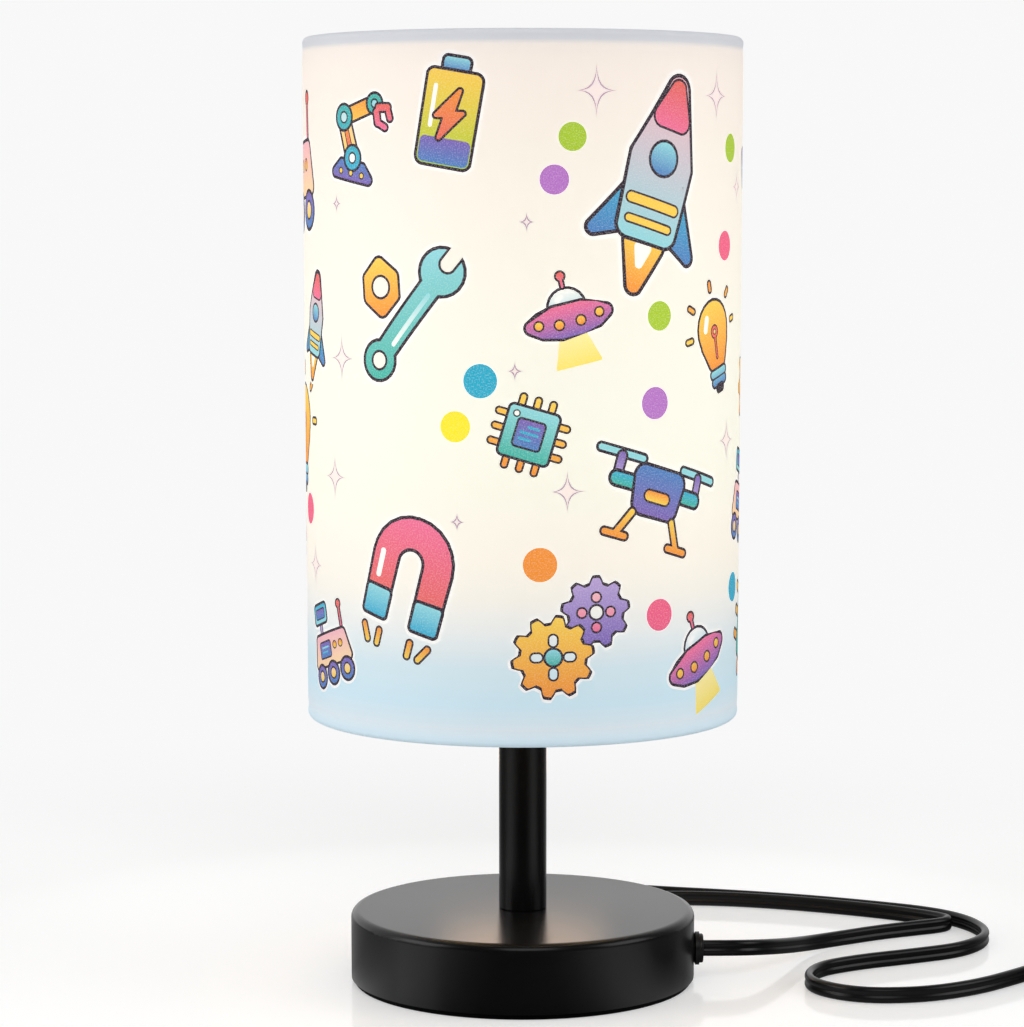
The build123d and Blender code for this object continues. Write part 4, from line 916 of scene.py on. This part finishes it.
pvc = finish("soft_pvc", "09090a", "0e0e10", 0.29, 0.03, 700, 10, 60, Specular_IOR_Level=0.28)
cord_line = spline_line(np.vstack([FREE_RUN, coil_points(), TAIL]), 8)
twin_cord = swept("twin_cord", cord_line, twin_section(), pvc, crease=60.0)
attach(twin_cord, "stand")
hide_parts("cord", "cord_coil", "cord_tail")

# ---- Coil tie ----
# Black hook-and-loop strap, 9 mm wide, passed once round the turns; its end laps over itself.

TIE_ANGLE = math.radians(250.0)
TIE_CENTRE_R, TIE_WIDTH, TIE_T = 28.4, 9.0, 0.9
strap_run = rounded([(-4.2, 10.05), (5.35, 10.05), (5.35, 0.45), (-5.35, 0.45), (-5.35, 10.9), (-4.4, 11.0),
                     (4.6, 11.0)], 1.3, closed=False, turn=10)
strap_run = divided(strap_run, 0.5)[:-int(np.linalg.norm(strap_run[0] - strap_run[-1]) / 0.5) - 1]
outward = np.array([math.cos(TIE_ANGLE), math.sin(TIE_ANGLE), 0.0])
strap_line = np.array([*COIL_CENTRE, 0.0]) + outward * (TIE_CENTRE_R + strap_run[:, :1])
strap_line = strap_line + strap_run[:, 1:] * np.array([0.0, 0.0, 1.0])
strap_edge = np.array([(-1, -1), (1, -1), (1, 1), (-1, 1)]) * (TIE_WIDTH / 2, TIE_T / 2)
strap_section = rounded(strap_edge, 0.3, turn=30)
tie_web = finish("tie_webbing", "17171a", "222226", 0.92, 0.05, 2200, 200, 300, Sheen_Weight=0.3)
hook_tie = swept("hook_tie", strap_line, strap_section, tie_web, side=np.cross(outward, (0.0, 0.0, 1.0)))
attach(hook_tie, "stand")
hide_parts("coil_tie")

# ---- Mains plug ----
# Two-blade plug moulded on the lead in the same black PVC: a ribbed neck that eases the bend,
# then a flat body with a hollow on each face for finger and thumb.

PLUG_AT = TAIL[-1]
PLUG_LENGTH = 40.0
STATIONS = [0, 2, 15, 19, 22, 27, 37.5, 39.2, 40]
HALF_WIDTHS = [3.0, 3.2, 5.2, 7.4, 10.6, 11.5, 11.5, 11.0, 9.8]
HALF_HEIGHTS = [3.0, 3.2, 4.2, 5.0, 6.0, 6.6, 6.6, 6.2, 5.2]


def plug_surface():
    """Superellipses whose half axes follow the stations. Five grooves ring the neck, and a dish
    0.9 deep, fading as a bell, hollows the upper and lower faces."""
    run = np.linspace(0, PLUG_LENGTH, 160)[:, None]
    turn = around(72)[None, :]
    wide, high = (np.interp(run, STATIONS, values) for values in (HALF_WIDTHS, HALF_HEIGHTS))
    power = np.interp(run, [0, 14, 24, 40], [1.0, 0.8, 0.42, 0.42])
    on_neck = (run > 2) * (run < 16)
    grooves = 1 - 0.13 * on_neck * np.clip(np.sin((run - 2) / 14 * 5 * 2 * math.pi), 0, 1) ** 0.6
    x = wide * grooves * signed_power(np.cos(turn), power)
    z = high * grooves * signed_power(np.sin(turn), power)
    dish = 0.9 * np.exp(-((run - 30) / 5.6) ** 4 - (x / 7.4) ** 4)
    z = z - np.sign(z) * dish * (np.abs(z) > 2)
    xyz = np.stack([PLUG_AT[0] + x, PLUG_AT[1] - run + 0 * x, PLUG_AT[2] + z], -1)
    return capped(xyz, PLUG_AT, (PLUG_AT[0], PLUG_AT[1] - PLUG_LENGTH, PLUG_AT[2]))


moulded_plug = solid("moulded_plug", plug_surface(), pvc)
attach(moulded_plug, "stand")
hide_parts("plug_body")
dress(brass, "plug_blades")

# ---- Floor and light ----
# White table top and backdrop in one. Soft boxes stand at the left, at the right and in front, a
# warm lamp burns inside the shade, and gloss alone shows a small warm card behind the pole.

floor_mesh = bpy.data.meshes.new("table_top")
corners = [(-3, -3, -0.0001), (3, -3, -0.0001), (3, 3, -0.0001), (-3, 3, -0.0001)]
floor_mesh.from_pydata(corners, [], [(0, 1, 2, 3)])
table_top = add_object("table_top", floor_mesh)
# Over FOOT, in metres from the lamp, the table gets lighter and loses its shine, and over FADE it
# turns into the backdrop.
FOOT, FADE, BACKDROP_WHITE = (0.1, 0.22), (0.2, 0.46), 0.94
# What black gloss shows of the table, by degrees round the lamp from its front: dark in front,
# a lit patch at each side, the left one farther back by the skew, and the bright backdrop.
GLOSS_SKEW = 0.12
SEEN_IN_GLOSS = {0: 0.02, 16: 0.04, 28: 0.18, 38: 0.46, 50: 0.76, 64: 0.74, 80: 0.3, 95: 0.1, 125: 0.12,
                 150: 0.5, 180: 0.9}
gloss_white, tree, shader = new_material("table_white", Roughness=0.08, Emission_Color=(1, 1, 1, 1))
path = add_node(tree, "LightPath")
place = add_node(tree, "TexCoord").outputs["Object"]
away = add_node(tree, "VectorMath", {0: place}, operation="LENGTH").outputs["Value"]
far = range_node(tree, away, *FADE, kind="SMOOTHSTEP")
spot = add_node(tree, "SeparateXYZ", {0: place})
ahead = math_node(tree, "MULTIPLY_ADD", spot.outputs["X"], -GLOSS_SKEW,
                  math_node(tree, "MULTIPLY", spot.outputs["Y"], -1.0))
turn = math_node(tree, "ARCTAN2", math_node(tree, "ABSOLUTE", spot.outputs["X"]), ahead)
seen = add_node(tree, "ValToRGB", {0: math_node(tree, "DIVIDE", turn, math.pi)})
stops = seen.color_ramp.elements
for turned_by, value in list(SEEN_IN_GLOSS.items())[1:-1]:
    stops.new(turned_by / 180)
for stop, value in zip(stops, SEEN_IN_GLOSS.values()):
    stop.color = (value, value, value, 1)
white = mix_values(tree, far, range_node(tree, away, *FOOT, 0.39, 0.46), BACKDROP_WHITE)
by_camera, by_gloss = path.outputs["Is Camera Ray"], path.outputs["Is Glossy Ray"]
glow = math_node(tree, "ADD", math_node(tree, "MULTIPLY", by_camera, white),
                 math_node(tree, "MULTIPLY", by_gloss, seen.outputs[0]))
body = math_node(tree, "SUBTRACT", 1.0, mix_values(tree, by_camera, by_gloss, far))
shine = range_node(tree, away, *FOOT, 0.065, 0.0, "SMOOTHSTEP")
tree.links.new(shine, shader.inputs["Specular IOR Level"])
tree.links.new(mix_colours(tree, body, (0, 0, 0, 1), (0.8, 0.8, 0.8, 1)), shader.inputs["Base Color"])
tree.links.new(glow, shader.inputs["Emission Strength"])
floor_mesh.materials.append(gloss_white)

# The room is white to the camera, an even light on the lamp and, in gloss and glass, dark in front
# and bright at the back, more so at the left.
ROOM_LIGHT = 0.32
world = bpy.data.worlds.new("studio")
world.use_nodes = True
bpy.context.scene.world = world
tree = world.node_tree
path = add_node(tree, "LightPath")
way = add_node(tree, "SeparateXYZ", {0: add_node(tree, "TexCoord").outputs["Generated"]})
behind = math_node(tree, "MULTIPLY_ADD", way.outputs["X"], -0.4, way.outputs["Y"])
back = range_node(tree, behind, -0.2, 0.9, 0.02, 1.0, "SMOOTHSTEP")
mirrored = math_node(tree, "ADD", path.outputs["Is Glossy Ray"], path.outputs["Is Transmission Ray"])
room = mix_values(tree, mirrored, ROOM_LIGHT, back)
level = mix_values(tree, path.outputs["Is Camera Ray"], room, BACKDROP_WHITE)
tree.links.new(level, tree.nodes["Background"].inputs["Strength"])
tree.nodes["Background"].inputs["Color"].default_value = (1, 1, 1, 1)


def soft_box(name, place, aim, size, power, tint=(1.0, 1.0, 1.0)):
    """Square area lamp at a place, turned towards a point."""
    lamp = bpy.data.lights.new(name, "AREA")
    lamp.size, lamp.energy, lamp.color = size, power, tint
    lit = add_object(name, lamp)
    lit.location = place
    away = np.subtract(place, aim)
    level_run = math.hypot(away[0], away[1])
    lit.rotation_euler = (math.atan2(level_run, away[2]), 0.0, math.atan2(away[1], away[0]) + math.pi / 2)
    return lit


soft_box("left_box", (-1.2, -0.35, 0.6), (0, 0, 0.12), 0.8, 5.4)
soft_box("right_box", (1.2, -0.3, 0.7), (0, 0, 0.12), 0.8, 4.4)
soft_box("front_box", (0.1, -1.4, 1.3), (0, 0, 0.12), 1.0, 5.8)
warm_card = soft_box("warm_card", (0, 0.07, 0.055), (0, -1, 0.03), 0.055, 0.006, (1.0, 0.62, 0.36))
warm_card.data.shape, warm_card.data.size_y = "ELLIPSE", 0.016
warm_card.visible_camera, warm_card.visible_diffuse = False, False
bulb_lamp = bpy.data.lights.new("bulb_light", "POINT")
bulb_lamp.energy, bulb_lamp.color, bulb_lamp.shadow_soft_size = 0.07, (1.0, 0.76, 0.5), 0.016
bulb_light = add_object("bulb_light", bulb_lamp)
bulb_light.location = (0, 0, 0.187)
bulb_light.visible_glossy = False

bpy.context.scene.view_settings.view_transform = "Standard"
